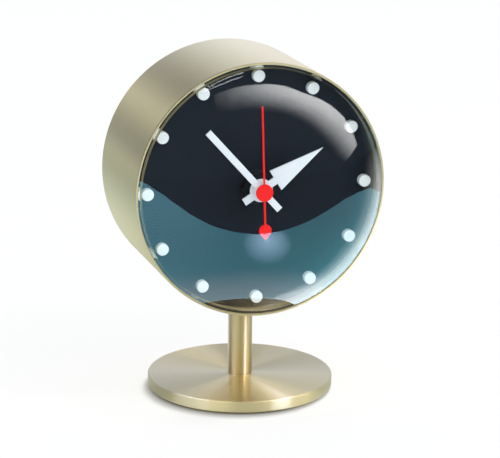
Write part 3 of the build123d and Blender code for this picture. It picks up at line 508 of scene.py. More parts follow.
# Circuit: a small green glass-fibre board with its chip under a blob of black resin.
# The quartz crystal lies on it in a drawn, nickel-plated can.

# Solder mask: a green glossy film. Potting resin: black, smooth and shiny. Nickel plate: a warm pale metal.
MASK_GRAIN = 0.6 * MM
RESIN_GRAIN = 1.0 * MM
solder_mask = fine_grained(
    "green_solder_mask", "#1F5236", "#2A6443", roughness=0.35, size=MASK_GRAIN, relief=0.1
)
resin = fine_grained(
    "black_potting_resin", "#121213", "#1A1A1B", roughness=0.25, size=RESIN_GRAIN, relief=0.1
)
nickel = metal_like_plating("nickel_plated_strip", "#BFBBB1", "#D2CEC4")
dress(solder_mask, "circuit_board")
dress(resin, "control_chip")
dress(nickel, "quartz_crystal")

# Battery: a round dry cell in a printed wrap, which leaves its plated steel ends bare.
# It drops into the bay between two sprung strips of nickel-plated steel.
dress(nickel, "battery_contact_positive", "battery_contact_negative")
low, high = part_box("battery")
CELL_RADIUS = (high.z - low.z) / 2
CELL_LENGTH = high.x - low.x
CELL_TIP_RADIUS = 2.75 * MM
CELL_TIP_LENGTH = 1.3 * MM
WRAP_LIP = 0.9 * MM
WRAP_THICKNESS = 0.12 * MM
CELL_EASE = 0.35 * MM
EASE_STEPS = 3
END_DISH = 0.25 * MM
END_STEP = WRAP_LIP * 0.6
END_FLAT_RADIUS, END_STEP_RADIUS = CELL_RADIUS * 0.62, CELL_RADIUS * 0.68
cell_body = CELL_LENGTH - CELL_TIP_LENGTH
cell_profile = eased(
    [
        (0.0, END_DISH),
        (END_FLAT_RADIUS, END_DISH),
        (END_STEP_RADIUS, END_STEP),
        (CELL_RADIUS - WRAP_LIP, END_STEP),
        (CELL_RADIUS - WRAP_LIP, 0.0),
        (CELL_RADIUS, 0.0),
        (CELL_RADIUS, cell_body),
        (CELL_RADIUS - WRAP_LIP, cell_body),
        (CELL_RADIUS - WRAP_LIP, cell_body - WRAP_THICKNESS),
        (CELL_TIP_RADIUS, cell_body - WRAP_THICKNESS),
        (CELL_TIP_RADIUS, CELL_LENGTH),
        (0.0, CELL_LENGTH),
    ],
    CELL_EASE,
    EASE_STEPS,
)
cell_profile = [(0.0, END_DISH)] + cell_profile[EASE_STEPS + 1:-EASE_STEPS - 1] + [(0.0, CELL_LENGTH)]
cell_stand = Matrix.Translation((low.x, (low.y + high.y) / 2, (low.z + high.z) / 2))
cell = turned("dry_cell", cell_profile, cell_stand @ Matrix.Rotation(radians(90), 4, "Y"), steps=96)

# Printed wrap: a glossy film in two plain colours, with bare nickel where the ends stand clear of it.
BAND_START = 0.72
SCUFF = 2.0 * MM
printed_film, tree = new_material("printed_shrink_film")
place = add_node(tree, "ShaderNodeTexCoord")
parts = add_node(tree, "ShaderNodeSeparateXYZ", None, {"Vector": place.outputs["Generated"]})
band = add_node(
    tree, "ShaderNodeMath", {"operation": "GREATER_THAN", 1: BAND_START}, {0: parts.outputs["X"]}
)
tone = add_node(
    tree, "ShaderNodeMix",
    {"data_type": "RGBA", 6: linear("#2C4E6E"), 7: linear("#C9CDD1")}, {0: band.outputs["Value"]},
)
scuff = add_node(
    tree, "ShaderNodeTexNoise", {"Scale": 1 / SCUFF, "Detail": 3.0}, {"Vector": place.outputs["Object"]}
)
gloss = add_node(tree, "ShaderNodeMapRange", {"To Min": 0.2, "To Max": 0.34}, {"Value": scuff.outputs["Fac"]})
film = add_node(
    tree, "ShaderNodeBsdfPrincipled", {"Metallic": 0.25},
    {"Base Color": tone.outputs[2], "Roughness": gloss.outputs["Result"]},
)
add_node(tree, "ShaderNodeOutputMaterial", None, {"Surface": film.outputs["BSDF"]})
place_piece(cell, printed_film, "battery", "cell_label", "battery")
cell.data.materials.append(nickel)
for face in cell.data.polygons:
    out = Vector((0, face.center.y - cell_stand.translation.y, face.center.z - cell_stand.translation.z))
    if out.length < CELL_RADIUS - WRAP_LIP * 0.5:
        face.material_index = 1

# Hour hand: an arrow stamped from thin aluminium and enamelled white, pressed on the hour pipe.
# Stamping and the enamel leave its edges slightly round.
HOUR_TURN = radians(58.0)
HAND_ROLL = 0.15 * MM
HOUR_TIP = 32.0 * MM
HOUR_BARB = 7.4 * MM
HOUR_BARB_HALF = 5.05 * MM
HOUR_NECK_HALF = 1.65 * MM
HOUR_TAIL = 8.9 * MM
HOUR_HUB = 5.0 * MM
HOUR_HOLE = 2.46 * MM


def curve_points(radius, start, end, steps=24):
    """Points on a circle about the hand's centre, from one angle to another."""
    return [
        (radius * cos(start + (end - start) * i / steps), radius * sin(start + (end - start) * i / steps))
        for i in range(steps + 1)
    ]


def hub_sides(radius, half):
    """The right and the left side of a round hub with a bar of some half width through it."""
    side = asin(half / radius)
    right = curve_points(radius, side - pi / 2, pi / 2 - side)
    return right, curve_points(radius, pi / 2 + side, 3 * pi / 2 - side)


def hand_hole(radius):
    """The round hole that fits a hand on its pipe."""
    return curve_points(radius, 0, 2 * pi, 48)[:-1]


def stamped(name, outlines, back, thickness, turn, roll):
    """A flat stamping: outlines in the hand's plane, filled, given thickness and rolled edges."""
    sheet = bpy.data.curves.new(name, "CURVE")
    sheet.dimensions = "2D"
    sheet.fill_mode = "BOTH"
    sheet.extrude = thickness / 2 - roll
    sheet.bevel_depth = roll
    sheet.bevel_resolution = 2
    sheet.offset = -roll
    for outline in outlines:
        line = sheet.splines.new("POLY")
        line.points.add(len(outline) - 1)
        for point, spot in zip(line.points, outline):
            point.co = (spot[0], spot[1], 0, 1)
        line.use_cyclic_u = True
    flat = bpy.data.objects.new(name + "_outline", sheet)
    bpy.context.scene.collection.objects.link(flat)
    bpy.context.view_layer.update()
    solid = bpy.data.meshes.new_from_object(flat.evaluated_get(bpy.context.evaluated_depsgraph_get()))
    bpy.data.objects.remove(flat)
    shape = bmesh.new()
    shape.from_mesh(solid)
    bmesh.ops.remove_doubles(shape, verts=shape.verts, dist=1e-6)
    stand = (
        Matrix.Translation((0, back - thickness / 2, AXIS.z))
        @ Matrix.Rotation(turn, 4, "Y")
        @ Matrix.Rotation(radians(90), 4, "X")
    )
    bmesh.ops.transform(shape, matrix=stand, verts=shape.verts)
    points = [v.co.copy() for v in shape.verts]
    faces = [[v.index for v in face.verts] for face in shape.faces]
    shape.free()
    bpy.data.meshes.remove(solid)
    return mesh_piece(name, points, faces, sharp_over=30)


# Stoved enamel: a thin baked coat, smooth with a faint orange peel, white here and red on the second hand.
ENAMEL_PEEL = 1.2 * MM


def enamel(name, dark, pale, sheen):
    """A stoved enamel coat with a faint orange peel."""
    made, tree = new_material(name)
    peel, tone = add_grain(tree, ENAMEL_PEEL, 1.0, dark, pale)
    bump = add_node(tree, "ShaderNodeBump", {"Strength": 0.06, "Distance": 0.02 * MM}, {"Height": peel})
    coat = add_node(
        tree, "ShaderNodeBsdfPrincipled", {"Roughness": 0.38, "Specular IOR Level": sheen},
        {"Base Color": tone, "Normal": bump.outputs["Normal"]},
    )
    add_node(tree, "ShaderNodeOutputMaterial", None, {"Surface": coat.outputs["BSDF"]})
    return made


white_enamel = enamel("white_stoved_enamel", "#E4ECF3", "#EBF2F8", sheen=0.5)
low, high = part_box("hour_hand")
hub_right, hub_left = hub_sides(HOUR_HUB, HOUR_NECK_HALF)
arrow = [(HOUR_NECK_HALF, -HOUR_TAIL)] + hub_right
arrow += [
    (HOUR_NECK_HALF, HOUR_BARB), (HOUR_BARB_HALF, HOUR_BARB), (0, HOUR_TIP),
    (-HOUR_BARB_HALF, HOUR_BARB), (-HOUR_NECK_HALF, HOUR_BARB),
]
arrow += hub_left + [(-HOUR_NECK_HALF, -HOUR_TAIL)]
hour_hand = stamped(
    "hour_arrow", [arrow, hand_hole(HOUR_HOLE)], high.y, high.y - low.y, HOUR_TURN, HAND_ROLL
)
place_piece(hour_hand, white_enamel, "hour_hand", "white_hand", "hour_hand")

# Minute hand: a straight bar with square ends, stamped and enamelled like the hour hand.
# It is pressed on the minute pipe, in front of the hour hand.
MINUTE_TURN = radians(318.0)
MINUTE_TIP = 36.2 * MM
MINUTE_TAIL = 11.0 * MM
MINUTE_HALF = 1.425 * MM
MINUTE_HUB = 4.2 * MM
MINUTE_HOLE = 1.71 * MM
low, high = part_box("minute_hand")
hub_right, hub_left = hub_sides(MINUTE_HUB, MINUTE_HALF)
straight_bar = [(MINUTE_HALF, -MINUTE_TAIL)] + hub_right
straight_bar += [(MINUTE_HALF, MINUTE_TIP), (-MINUTE_HALF, MINUTE_TIP)]
straight_bar += hub_left + [(-MINUTE_HALF, -MINUTE_TAIL)]
minute_hand = stamped(
    "minute_bar", [straight_bar, hand_hole(MINUTE_HOLE)], high.y, high.y - low.y, MINUTE_TURN, HAND_ROLL
)
place_piece(minute_hand, white_enamel, "minute_hand", "white_hand", "minute_hand")

# Second hand: a fine needle with a drop-shaped counterweight, enamelled red.
# A small domed cap covers the end of its arbor.
SECOND_THICKNESS = 0.6 * MM
SECOND_TURN = radians(358.0)
SECOND_TIP = 37.0 * MM
SECOND_TIP_HALF = 0.35 * MM
SECOND_ROOT_HALF = 0.4 * MM
DROP_CENTRE = 16.5 * MM
DROP_RADIUS = 2.75 * MM
DROP_POINT = 20.5 * MM
CAP_RADIUS = 3.7 * MM
CAP_EASE = 0.4 * MM
CAP_STEPS = 5
SECOND_ROLL = 0.1 * MM
low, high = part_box("second_hand")
red_enamel = enamel("red_stoved_enamel", "#FA1512", "#FF1A17", sheen=0.2)
drop_neck = asin(SECOND_ROOT_HALF / DROP_RADIUS)
drop_side = asin(DROP_RADIUS / (DROP_POINT - DROP_CENTRE))
drop_right = curve_points(DROP_RADIUS, pi / 2 - drop_neck, -drop_side)
drop_left = curve_points(DROP_RADIUS, pi + drop_side, pi / 2 + drop_neck)
needle = [(-SECOND_TIP_HALF, SECOND_TIP), (-SECOND_ROOT_HALF, 0)]
needle += [(x, y - DROP_CENTRE) for x, y in reversed(drop_left)]
needle += [(0, -DROP_POINT)]
needle += [(x, y - DROP_CENTRE) for x, y in reversed(drop_right)]
needle += [(SECOND_ROOT_HALF, 0), (SECOND_TIP_HALF, SECOND_TIP)]
second_hand = stamped("second_needle", [needle], high.y, SECOND_THICKNESS, SECOND_TURN, SECOND_ROLL)
place_piece(second_hand, red_enamel, "second_hand", "red_hand", "second_hand")
cap_height = high.y - low.y
cap_profile = eased(
    [(0, 0), (CAP_RADIUS, 0), (CAP_RADIUS, cap_height), (0, cap_height)], CAP_EASE, CAP_STEPS
)
cap_profile = [(0, 0)] + cap_profile[CAP_STEPS + 1:-CAP_STEPS - 1] + [(0, cap_height)]
cap_stand = Matrix.Translation((0, high.y, AXIS.z)) @ Matrix.Rotation(radians(90), 4, "X")
cap = turned("second_cap", cap_profile, cap_stand, steps=64)
cap.data.materials.append(red_enamel)
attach(cap, "second_hand")

# Lens: a dome blown from clear acrylic sheet, with a short skirt cemented into the seat of the case.
# It is of even thickness, and polished on both sides.
LENS_THICKNESS = 1.2 * MM
DOME_STEPS = 64
low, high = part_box("lens")
lens_radius = (high.z - low.z) / 2
lens_rise = case_low.y - low.y
skirt = high.y - case_low.y
dome = (lens_radius ** 2 + lens_rise ** 2) / (2 * lens_rise)
dome_inside = dome - LENS_THICKNESS
skirt_inside = sqrt(dome_inside ** 2 - (dome - lens_rise) ** 2)


def dome_line(radius, reach):
    """The line of one face of the dome, from its middle out to its edge."""
    turns = [asin(reach / radius) * i / DOME_STEPS for i in range(DOME_STEPS + 1)]
    return [(radius * sin(turn), radius * cos(turn) + lens_rise - dome) for turn in turns]


lens_profile = dome_line(dome, lens_radius) + [(lens_radius, -skirt), (skirt_inside, -skirt)]
lens_profile += dome_line(dome_inside, skirt_inside)[::-1]
lens = turned("lens_dome", lens_profile, FACING, steps=256)

# Clear acrylic: glossy, with hardly any tint. Lamps shine through it to the dial, and seen nearly edge on
# it mirrors less than new glass does, as a wiped and handled plastic dome.
DRAW_DRIFT = 12 * MM
EDGE_ON_FROM, EDGE_ON_TO = 1 - cos(radians(64)), 1 - cos(radians(76))
EDGE_ON_LOSS = 0.75
acrylic, tree = new_material("clear_acrylic")
tint = add_grain(tree, DRAW_DRIFT, 2.0, "#FFFFFF", "#F6FAFB")[1]
clear = add_node(
    tree, "ShaderNodeBsdfPrincipled", {"Roughness": 0.0, "IOR": 1.49, "Transmission Weight": 1.0},
    {"Base Color": tint},
)
open_air = add_node(tree, "ShaderNodeBsdfTransparent")
rays = add_node(tree, "ShaderNodeLightPath")
passing = add_node(
    tree, "ShaderNodeMath", {"operation": "MAXIMUM"},
    {0: rays.outputs["Is Shadow Ray"], 1: rays.outputs["Is Diffuse Ray"]},
)
slant = add_node(tree, "ShaderNodeLayerWeight", {"Blend": 0.5})
edge_on = add_node(
    tree, "ShaderNodeMapRange",
    {
        "interpolation_type": "SMOOTHSTEP", "From Min": EDGE_ON_FROM, "From Max": EDGE_ON_TO,
        "To Max": EDGE_ON_LOSS,
    },
    {"Value": slant.outputs["Facing"]},
)
open_share = add_node(
    tree, "ShaderNodeMath", {"operation": "MAXIMUM"},
    {0: passing.outputs["Value"], 1: edge_on.outputs["Result"]},
)
both = add_node(
    tree, "ShaderNodeMixShader", None,
    {0: open_share.outputs["Value"], 1: clear.outputs["BSDF"], 2: open_air.outputs["BSDF"]},
)
add_node(tree, "ShaderNodeOutputMaterial", None, {"Surface": both.outputs["Shader"]})
place_piece(lens, acrylic, "clock_body", "clear_acrylic", "lens")

# Rear cover: a disc moulded in black ABS with a deep square well, screwed to the ring in the case.
# Through the well's window the battery is changed and the hands are set.

# Textured ABS: black and matt, a little coarser than the movement's case.
COVER_GRAIN = 0.6 * MM
cover_abs = fine_grained(
    "black_textured_abs", "#171718", "#232324", roughness=0.55, size=COVER_GRAIN, relief=0.35
)
dress(cover_abs, "rear_cover")
dress(black_steel, "cover_screws")

# Table: a plain studio table of white laminate, which the camera sees as white with a soft contact shadow,
# cast partly by the shadow lamp and partly painted.
# To mirrors it is dark, because sheets of light lie on it that give the metal and the lens what they show.
TABLE_SIZE = 8.0
TABLE_CORNERS = [(x * TABLE_SIZE, y * TABLE_SIZE) for x, y in ((-1, -1), (1, -1), (1, 1), (-1, 1))]
TABLE_GLOW = 0.39
# The painted contact shadow: centred under the base, full inside the first radius and gone by the second.
PAINTED_SHADOW_CENTRE = (-1.9 * MM, -2.3 * MM, 0.0)
PAINTED_SHADOW_INNER, PAINTED_SHADOW_OUTER = 36.2 * MM, 42.2 * MM


def flat_sheet(name, corners, height):
    """A flat sheet at a height over the floor, from its corners in order."""
    return mesh_piece(name, [(x, y, height) for x, y in corners], [tuple(range(len(corners)))])


def add_paths(tree):
    """Light-path tests: what the camera sees straight or through the lens, and what metal and lens mirror."""
    rays = add_node(tree, "ShaderNodeLightPath")
    bounced = add_node(
        tree, "ShaderNodeMath", {"operation": "ADD"},
        {0: rays.outputs["Glossy Depth"], 1: rays.outputs["Diffuse Depth"]},
    )
    straight = add_node(
        tree, "ShaderNodeMath", {"operation": "LESS_THAN", 1: 0.5}, {0: bounced.outputs["Value"]}
    )
    through = add_node(
        tree, "ShaderNodeMath", {"operation": "MULTIPLY"},
        {0: rays.outputs["Is Transmission Ray"], 1: straight.outputs["Value"]},
    )
    seen = add_node(
        tree, "ShaderNodeMath", {"operation": "MAXIMUM"},
        {0: rays.outputs["Is Camera Ray"], 1: through.outputs["Value"]},
    )
    dull = add_node(
        tree, "ShaderNodeMath", {"operation": "MINIMUM", 1: 1.0}, {0: rays.outputs["Diffuse Depth"]}
    )
    mirrored = add_node(
        tree, "ShaderNodeMath", {"operation": "GREATER_THAN", 1: 0.5}, {0: rays.outputs["Glossy Depth"]}
    )
    clean = add_node(
        tree, "ShaderNodeMath", {"operation": "SUBTRACT", "use_clamp": True},
        {0: mirrored.outputs["Value"], 1: dull.outputs["Value"]},
    )
    return seen.outputs["Value"], clean.outputs["Value"]


# White laminate: a plain dull white. The camera sees it glow a little, and that glow fades out under and just
# round the base as a painted contact shadow;
# the greyer white under the glow takes the lamp's shadow.
table = flat_sheet("studio_table", TABLE_CORNERS, 0.0)
white_table, tree = new_material("white_laminate_table")
seen, mirrored = add_paths(tree)
plain = add_node(tree, "ShaderNodeBsdfDiffuse", {"Color": linear("#AEAEAE")})
shade = add_node(tree, "ShaderNodeBsdfDiffuse", {"Color": linear("#898989")})
place = add_node(tree, "ShaderNodeTexCoord")
from_base = add_node(
    tree, "ShaderNodeVectorMath", {"operation": "DISTANCE", 1: PAINTED_SHADOW_CENTRE}, {0: place.outputs["Object"]}
)
# The glow's strength fades to nothing round the base, as a painted contact shadow.
lit = add_node(
    tree, "ShaderNodeMapRange",
    {
        "interpolation_type": "SMOOTHSTEP", "From Min": PAINTED_SHADOW_INNER, "From Max": PAINTED_SHADOW_OUTER,
        "To Max": TABLE_GLOW,
    },
    {"Value": from_base.outputs["Value"]},
)
glow = add_node(
    tree, "ShaderNodeEmission", {"Color": linear("#FFFFFF")}, {"Strength": lit.outputs["Result"]}
)
white = add_node(
    tree, "ShaderNodeAddShader", None, {0: shade.outputs["BSDF"], 1: glow.outputs["Emission"]}
)
dark = add_node(tree, "ShaderNodeEmission", {"Strength": 0.0})
for_metal = add_node(
    tree, "ShaderNodeMixShader", None, {0: mirrored, 1: plain.outputs["BSDF"], 2: dark.outputs["Emission"]}
)
for_all = add_node(
    tree, "ShaderNodeMixShader", None, {0: seen, 1: for_metal.outputs["Shader"], 2: white.outputs["Shader"]}
)
add_node(tree, "ShaderNodeOutputMaterial", None, {"Surface": for_all.outputs["Shader"]})
white_table.cycles.emission_sampling = "NONE"
table.data.materials.append(white_table)

# Lit table for the metal: what the brass mirrors of the table, dimmer close round the base as a painted shade
# of the base, palest a little way out and greyer further off.
# It is a sheet of light just over the table, which lets other light through. The lens takes none of it.
METAL_SHEET_HEIGHT = 0.2 * MM
PLAIN_LIGHT = (1.0, 1.0, 1.0)
MIRROR_REACH = 0.6
# The table's colour from the clock outwards, as shares of that reach. The dim first two stops are painted
# shade round the base.
MIRROR_FADE = [
    (0.0, (0.62, 0.66, 0.70)), (0.09, (0.66, 0.72, 0.77)), (0.20, (0.82, 0.94, 1.05)),
    (0.28, (0.87, 1.02, 1.22)), (0.57, (0.64, 0.78, 0.98)), (1.0, (0.52, 0.62, 0.72)),
]
ROUND_TINT = (1.0, 1.07, 1.08)
# How bright the metal sees each side of the room, by azimuth in degrees.
ROUND_LEVELS = [
    (-180, 1.3), (-125, 1.05), (-100, 0.7), (-80, 0.7), (-62, 1.05), (-40, 1.4), (-22, 0.95), (2, 0.9),
    (20, 1.3), (45, 1.4), (60, 1.05), (90, 0.9), (180, 1.0),
]


def add_sheet_light(tree, colour, power, links):
    """A light that also lets through all that lies behind it."""
    light = add_node(tree, "ShaderNodeEmission", {"Color": (*colour, 1.0), "Strength": power}, links)
    open_air = add_node(tree, "ShaderNodeBsdfTransparent")
    lit = add_node(
        tree, "ShaderNodeAddShader", None, {0: light.outputs["Emission"], 1: open_air.outputs["BSDF"]}
    )
    add_node(tree, "ShaderNodeOutputMaterial", None, {"Surface": lit.outputs["Shader"]})


def add_round(tree, place):
    """A colour by the way from the clock, from the back round the left, the front and the right."""
    parts = add_node(tree, "ShaderNodeSeparateXYZ", None, {"Vector": place.outputs["Object"]})
    forward = add_node(tree, "ShaderNodeMath", {"operation": "MULTIPLY", 1: -1.0}, {0: parts.outputs["Y"]})
    turn = add_node(
        tree, "ShaderNodeMath", {"operation": "ARCTAN2"}, {0: parts.outputs["X"], 1: forward.outputs["Value"]}
    )
    share = add_node(
        tree, "ShaderNodeMapRange", {"From Min": -pi, "From Max": pi}, {"Value": turn.outputs["Value"]}
    )
    stops = [((at + 180) / 360, [level * part for part in ROUND_TINT]) for at, level in ROUND_LEVELS]
    levels = add_node(tree, "ShaderNodeValToRGB", None, {"Fac": share.outputs["Result"]}, stops)
    return levels.outputs["Color"]


def group_of(name, *members):
    """A collection of the pieces that a light is for, or that stand in its way."""
    made = bpy.data.collections.new(name)
    for member in members:
        made.objects.link(member)
    return made


def set_mirrored(sheet, light, receivers):
    """Lets a staged light be seen in mirrors only, and only by some pieces."""
    sheet.data.materials.append(light)
    sheet.visible_camera = False
    sheet.visible_diffuse = False
    sheet.visible_transmission = False
    sheet.visible_shadow = False
    sheet.light_linking.receiver_collection = receivers


not_lens = group_of("not_lens", lens)
not_lens.collection_objects[0].light_linking.link_state = "EXCLUDE"
metal_table = flat_sheet("metal_table_light", TABLE_CORNERS, METAL_SHEET_HEIGHT)
metal_light, tree = new_material("mirrored_table_light")
place = add_node(tree, "ShaderNodeTexCoord")
distance = add_node(tree, "ShaderNodeVectorMath", {"operation": "LENGTH"}, {0: place.outputs["Object"]})
share = add_node(
    tree, "ShaderNodeMapRange", {"From Max": MIRROR_REACH}, {"Value": distance.outputs["Value"]}
)
paleness = add_node(tree, "ShaderNodeValToRGB", None, {"Fac": share.outputs["Result"]}, MIRROR_FADE)
toned = add_node(
    tree, "ShaderNodeMix", {"data_type": "RGBA", "blend_type": "MULTIPLY", 0: 1.0},
    {6: paleness.outputs["Color"], 7: add_round(tree, place)},
)
add_sheet_light(tree, PLAIN_LIGHT, 1.0, {"Color": toned.outputs[2]})
set_mirrored(metal_table, metal_light, not_lens)

# Screen for the base and stem: a tall pale screen that stands round the front of the clock.
# Only the base and stem mirror it. It grows brighter towards its top.
SCREEN_DISTANCE = 1.5
SCREEN_STEPS, SCREEN_ROWS = 40, 12
FRONT_LEFT, FRONT_RIGHT, FRONT_TOP = -105, 95, 70
FRONT_LOW_LEVEL, FRONT_TOP_LEVEL = 0.72, 1.75


def towards(azimuth, elevation):
    """A direction from the clock: azimuth counts from the front to the right."""
    a, e = radians(azimuth), radians(elevation)
    return Vector((sin(a) * cos(e), -cos(a) * cos(e), sin(e)))


def grid_faces(columns, rows):
    """The faces of a grid of points that run up one column of rows after the other."""
    line = rows + 1
    corners = [column * line + row for column in range(columns) for row in range(rows)]
    return [(corner, corner + line, corner + line + 1, corner + 1) for corner in corners]


def curved_screen(name, start, end, top):
    """A screen round the clock between two azimuths, from the floor up to an elevation."""
    points = [
        towards(start + (end - start) * step / SCREEN_STEPS, top * row / SCREEN_ROWS) * SCREEN_DISTANCE
        for step in range(SCREEN_STEPS + 1)
        for row in range(SCREEN_ROWS + 1)
    ]
    return mesh_piece(name, points, grid_faces(SCREEN_STEPS, SCREEN_ROWS))


below_case = group_of("below_case", base, stem)
metal_screen = curved_screen("metal_screen_light", FRONT_LEFT, FRONT_RIGHT, FRONT_TOP)
screen_light, tree = new_material("mirrored_screen_light")
place = add_node(tree, "ShaderNodeTexCoord")
parts = add_node(tree, "ShaderNodeSeparateXYZ", None, {"Vector": place.outputs["Object"]})
level = add_node(
    tree, "ShaderNodeMapRange",
    {"From Max": SCREEN_DISTANCE, "To Min": FRONT_LOW_LEVEL, "To Max": FRONT_TOP_LEVEL},
    {"Value": parts.outputs["Z"]},
)
add_sheet_light(
    tree, PLAIN_LIGHT, 1.0, {"Color": add_round(tree, place), "Strength": level.outputs["Result"]}
)
set_mirrored(metal_screen, screen_light, below_case)

# Bars for the base and stem: bars of light at the front right, the left and the back, and one high lamp.
# They draw the bright lines down the stem and on the base's edge, and the wedges across its top.
BAR_DISTANCE = 1.05
BAR_COLOUR = (0.97, 1.24, 2.5)
stem_only = group_of("stem_only", stem)
base_only = group_of("base_only", base)
# Each has its corners as azimuth and elevation in degrees, its power and the pieces that mirror it.
for name, corners, power, receivers in (
    ("right_bar", ((29, 12), (47, 12), (47, 48), (29, 48)), 12.0, stem_only),
    ("edge_bar", ((23, 0), (46, 0), (46, 16), (23, 16)), 5.0, base_only),
    ("high_lamp", ((54, 46), (68, 46), (96, 60), (78, 60)), 8.5, base_only),
    ("left_bar", ((-105, 12), (-58, 12), (-58, 48), (-105, 48)), 1.6, below_case),
    ("back_bar", ((160, 12), (205, 12), (205, 48), (160, 48)), 6.0, stem_only),
):
    bar = mesh_piece(name, [AXIS + towards(*corner) * BAR_DISTANCE for corner in corners], [(0, 1, 2, 3)])
    bar_light, tree = new_material(name + "_light")
    add_sheet_light(tree, BAR_COLOUR, power, None)
    set_mirrored(bar, bar_light, receivers)

# Screen and card for the case: a pale screen hung behind and over the clock, which only the case mirrors,
# and a bright card on the table at the front right. The screen brings the case's top right near to white
# and draws one paler stripe down its left side, and the card lights the lower right of its rim.
BACK_FROM, BACK_TO, BACK_TOP = 100, 260, 86
# The screen's stripes, from level on the right over the top to level on the left.
CASE_STRIPES = [
    (0.0, (0.10, 0.12, 0.25)), (0.25, (0.66, 0.84, 1.55)), (0.40, (0.60, 0.78, 1.35)),
    (0.48, (0.40, 0.50, 0.56)), (0.56, (0.24, 0.26, 0.30)), (0.66, (0.12, 0.13, 0.15)),
    (0.78, (0.34, 0.36, 0.36)), (0.86, (0.24, 0.27, 0.28)), (0.92, (0.05, 0.06, 0.07)),
    (0.96, (0.08, 0.09, 0.11)), (1.0, (0.60, 0.68, 0.84)),
]
CARD_HEIGHT = 0.4 * MM
CARD_CORNERS = [(x * MM, y * MM) for x, y in ((50, -80), (190, -60), (260, -260), (80, -300))]
CARD_COLOUR, CARD_POWER = (1.0, 1.0, 1.1), 3.0


def add_swing(tree, way):
    """How far a direction has swung over the clock, from level on the right, 0, to level on the left, 1."""
    parts = add_node(tree, "ShaderNodeSeparateXYZ", None, {"Vector": way})
    swing = add_node(
        tree, "ShaderNodeMath", {"operation": "ARCTAN2"}, {0: parts.outputs["Z"], 1: parts.outputs["X"]}
    )
    share = add_node(tree, "ShaderNodeMapRange", {"From Max": pi}, {"Value": swing.outputs["Value"]})
    return share.outputs["Result"]


case_only = group_of("case_only", case)
case_screen = curved_screen("case_screen_light", BACK_FROM, BACK_TO, BACK_TOP)
case_light, tree = new_material("case_screen_light")
place = add_node(tree, "ShaderNodeTexCoord")
leftwards = add_swing(tree, place.outputs["Object"])
stripes = add_node(tree, "ShaderNodeValToRGB", None, {"Fac": leftwards}, CASE_STRIPES)
add_sheet_light(tree, PLAIN_LIGHT, 1.0, {"Color": stripes.outputs["Color"]})
set_mirrored(case_screen, case_light, case_only)
rim_card = flat_sheet("rim_card", CARD_CORNERS, CARD_HEIGHT)
rim_light, tree = new_material("rim_card_light")
add_sheet_light(tree, CARD_COLOUR, CARD_POWER, None)
set_mirrored(rim_card, rim_light, case_only)

# Lit table for the lens: it mirrors the table cold in front of the clock and white on its right.
# Thin sheets of light lie on the table for that, and only the lens takes them in.
COLD_SHEET_HEIGHT = 0.3 * MM
COLD_LEFT, COLD_RIGHT = -240 * MM, 240 * MM
COLD_COLOURS = [
    (0.0, (1.20, 3.30, 4.30)), (0.30, (0.95, 2.85, 3.65)), (0.45, (0.66, 2.50, 3.15)),
    (0.65, (0.62, 2.36, 2.87)), (1.0, (0.71, 1.96, 2.44)),
]
# The cold sheet's outline in metres: its curved front edge from left to right, and back behind the stem.
FRONT_LINE = [
    (-2.27, -0.78), (-0.93, -0.51), (-0.454, -0.356), (-0.25, -0.268), (-0.152, -0.221), (-0.095, -0.195),
    (-0.056, -0.183), (-0.024, -0.175), (0.005, -0.171), (0.034, -0.170), (0.066, -0.171), (0.105, -0.174),
    (0.156, -0.177), (0.227, -0.177), (0.325, -0.160), (0.40, -0.107), (0.422, -0.024), (0.35, 0.05),
    (0.18, 0.03), (0.05, 0.0), (-2.27, 0.0),
]
SPOT_SHAPE = (1.0, 0.72, 0.0)
SPOT_AT = (25 * MM, -146 * MM * SPOT_SHAPE[1], 0.0)
SPOT_REACH = 42 * MM
SPOT_COLOUR = (5.8, 9.6, 13.0, 1.0)
NEAR_BASE, OFF_BASE = 46 * MM, 90 * MM
NEAR_BASE_COLOUR = (2.4, 3.5, 4.0, 1.0)
# The white sheet is a fan: it fades by its reach in metres, and by azimuth in degrees.
FAN_AT = Vector((20 * MM, -40 * MM, 0.6 * MM))
FAN_REACH = (
    (0.005, 0.5), (0.02, 0.8), (0.05, 0.9), (0.10, 0.9), (0.4, 1.0), (0.8, 0.9), (1.5, 0.6), (4.0, 0.3),
    (8.0, 0.0),
)
FAN_LEVELS = ((84, 0.0), (91, 0.8), (96, 1.7), (100, 2.8), (104, 4.0), (109, 4.7), (150, 4.9))


def store(piece, name, values):
    """Keeps a value for each point of a piece, for its material to read."""
    layer = piece.data.attributes.new(name, "FLOAT", "POINT")
    layer.data.foreach_set("value", values)


lens_only = group_of("lens_only", lens)
cold_sheet = flat_sheet("cold_table_light", FRONT_LINE, COLD_SHEET_HEIGHT)
cold_light, tree = new_material("cold_mirrored_light")
place = add_node(tree, "ShaderNodeTexCoord")
parts = add_node(tree, "ShaderNodeSeparateXYZ", None, {"Vector": place.outputs["Object"]})
across = add_node(
    tree, "ShaderNodeMapRange", {"From Min": COLD_LEFT, "From Max": COLD_RIGHT}, {"Value": parts.outputs["X"]}
)
teal = add_node(tree, "ShaderNodeValToRGB", None, {"Fac": across.outputs["Result"]}, COLD_COLOURS)
squeezed = add_node(
    tree, "ShaderNodeVectorMath", {"operation": "MULTIPLY", 1: SPOT_SHAPE}, {0: place.outputs["Object"]}
)
aside = add_node(
    tree, "ShaderNodeVectorMath", {"operation": "DISTANCE", 1: SPOT_AT}, {0: squeezed.outputs["Vector"]}
)
in_spot = add_node(
    tree, "ShaderNodeMapRange", {"From Max": SPOT_REACH, "To Min": 1.0, "To Max": 0.0},
    {"Value": aside.outputs["Value"]},
)
spotted = add_node(
    tree, "ShaderNodeMix", {"data_type": "RGBA", 7: SPOT_COLOUR},
    {0: in_spot.outputs["Result"], 6: teal.outputs["Color"]},
)
from_base = add_node(tree, "ShaderNodeVectorMath", {"operation": "LENGTH"}, {0: place.outputs["Object"]})
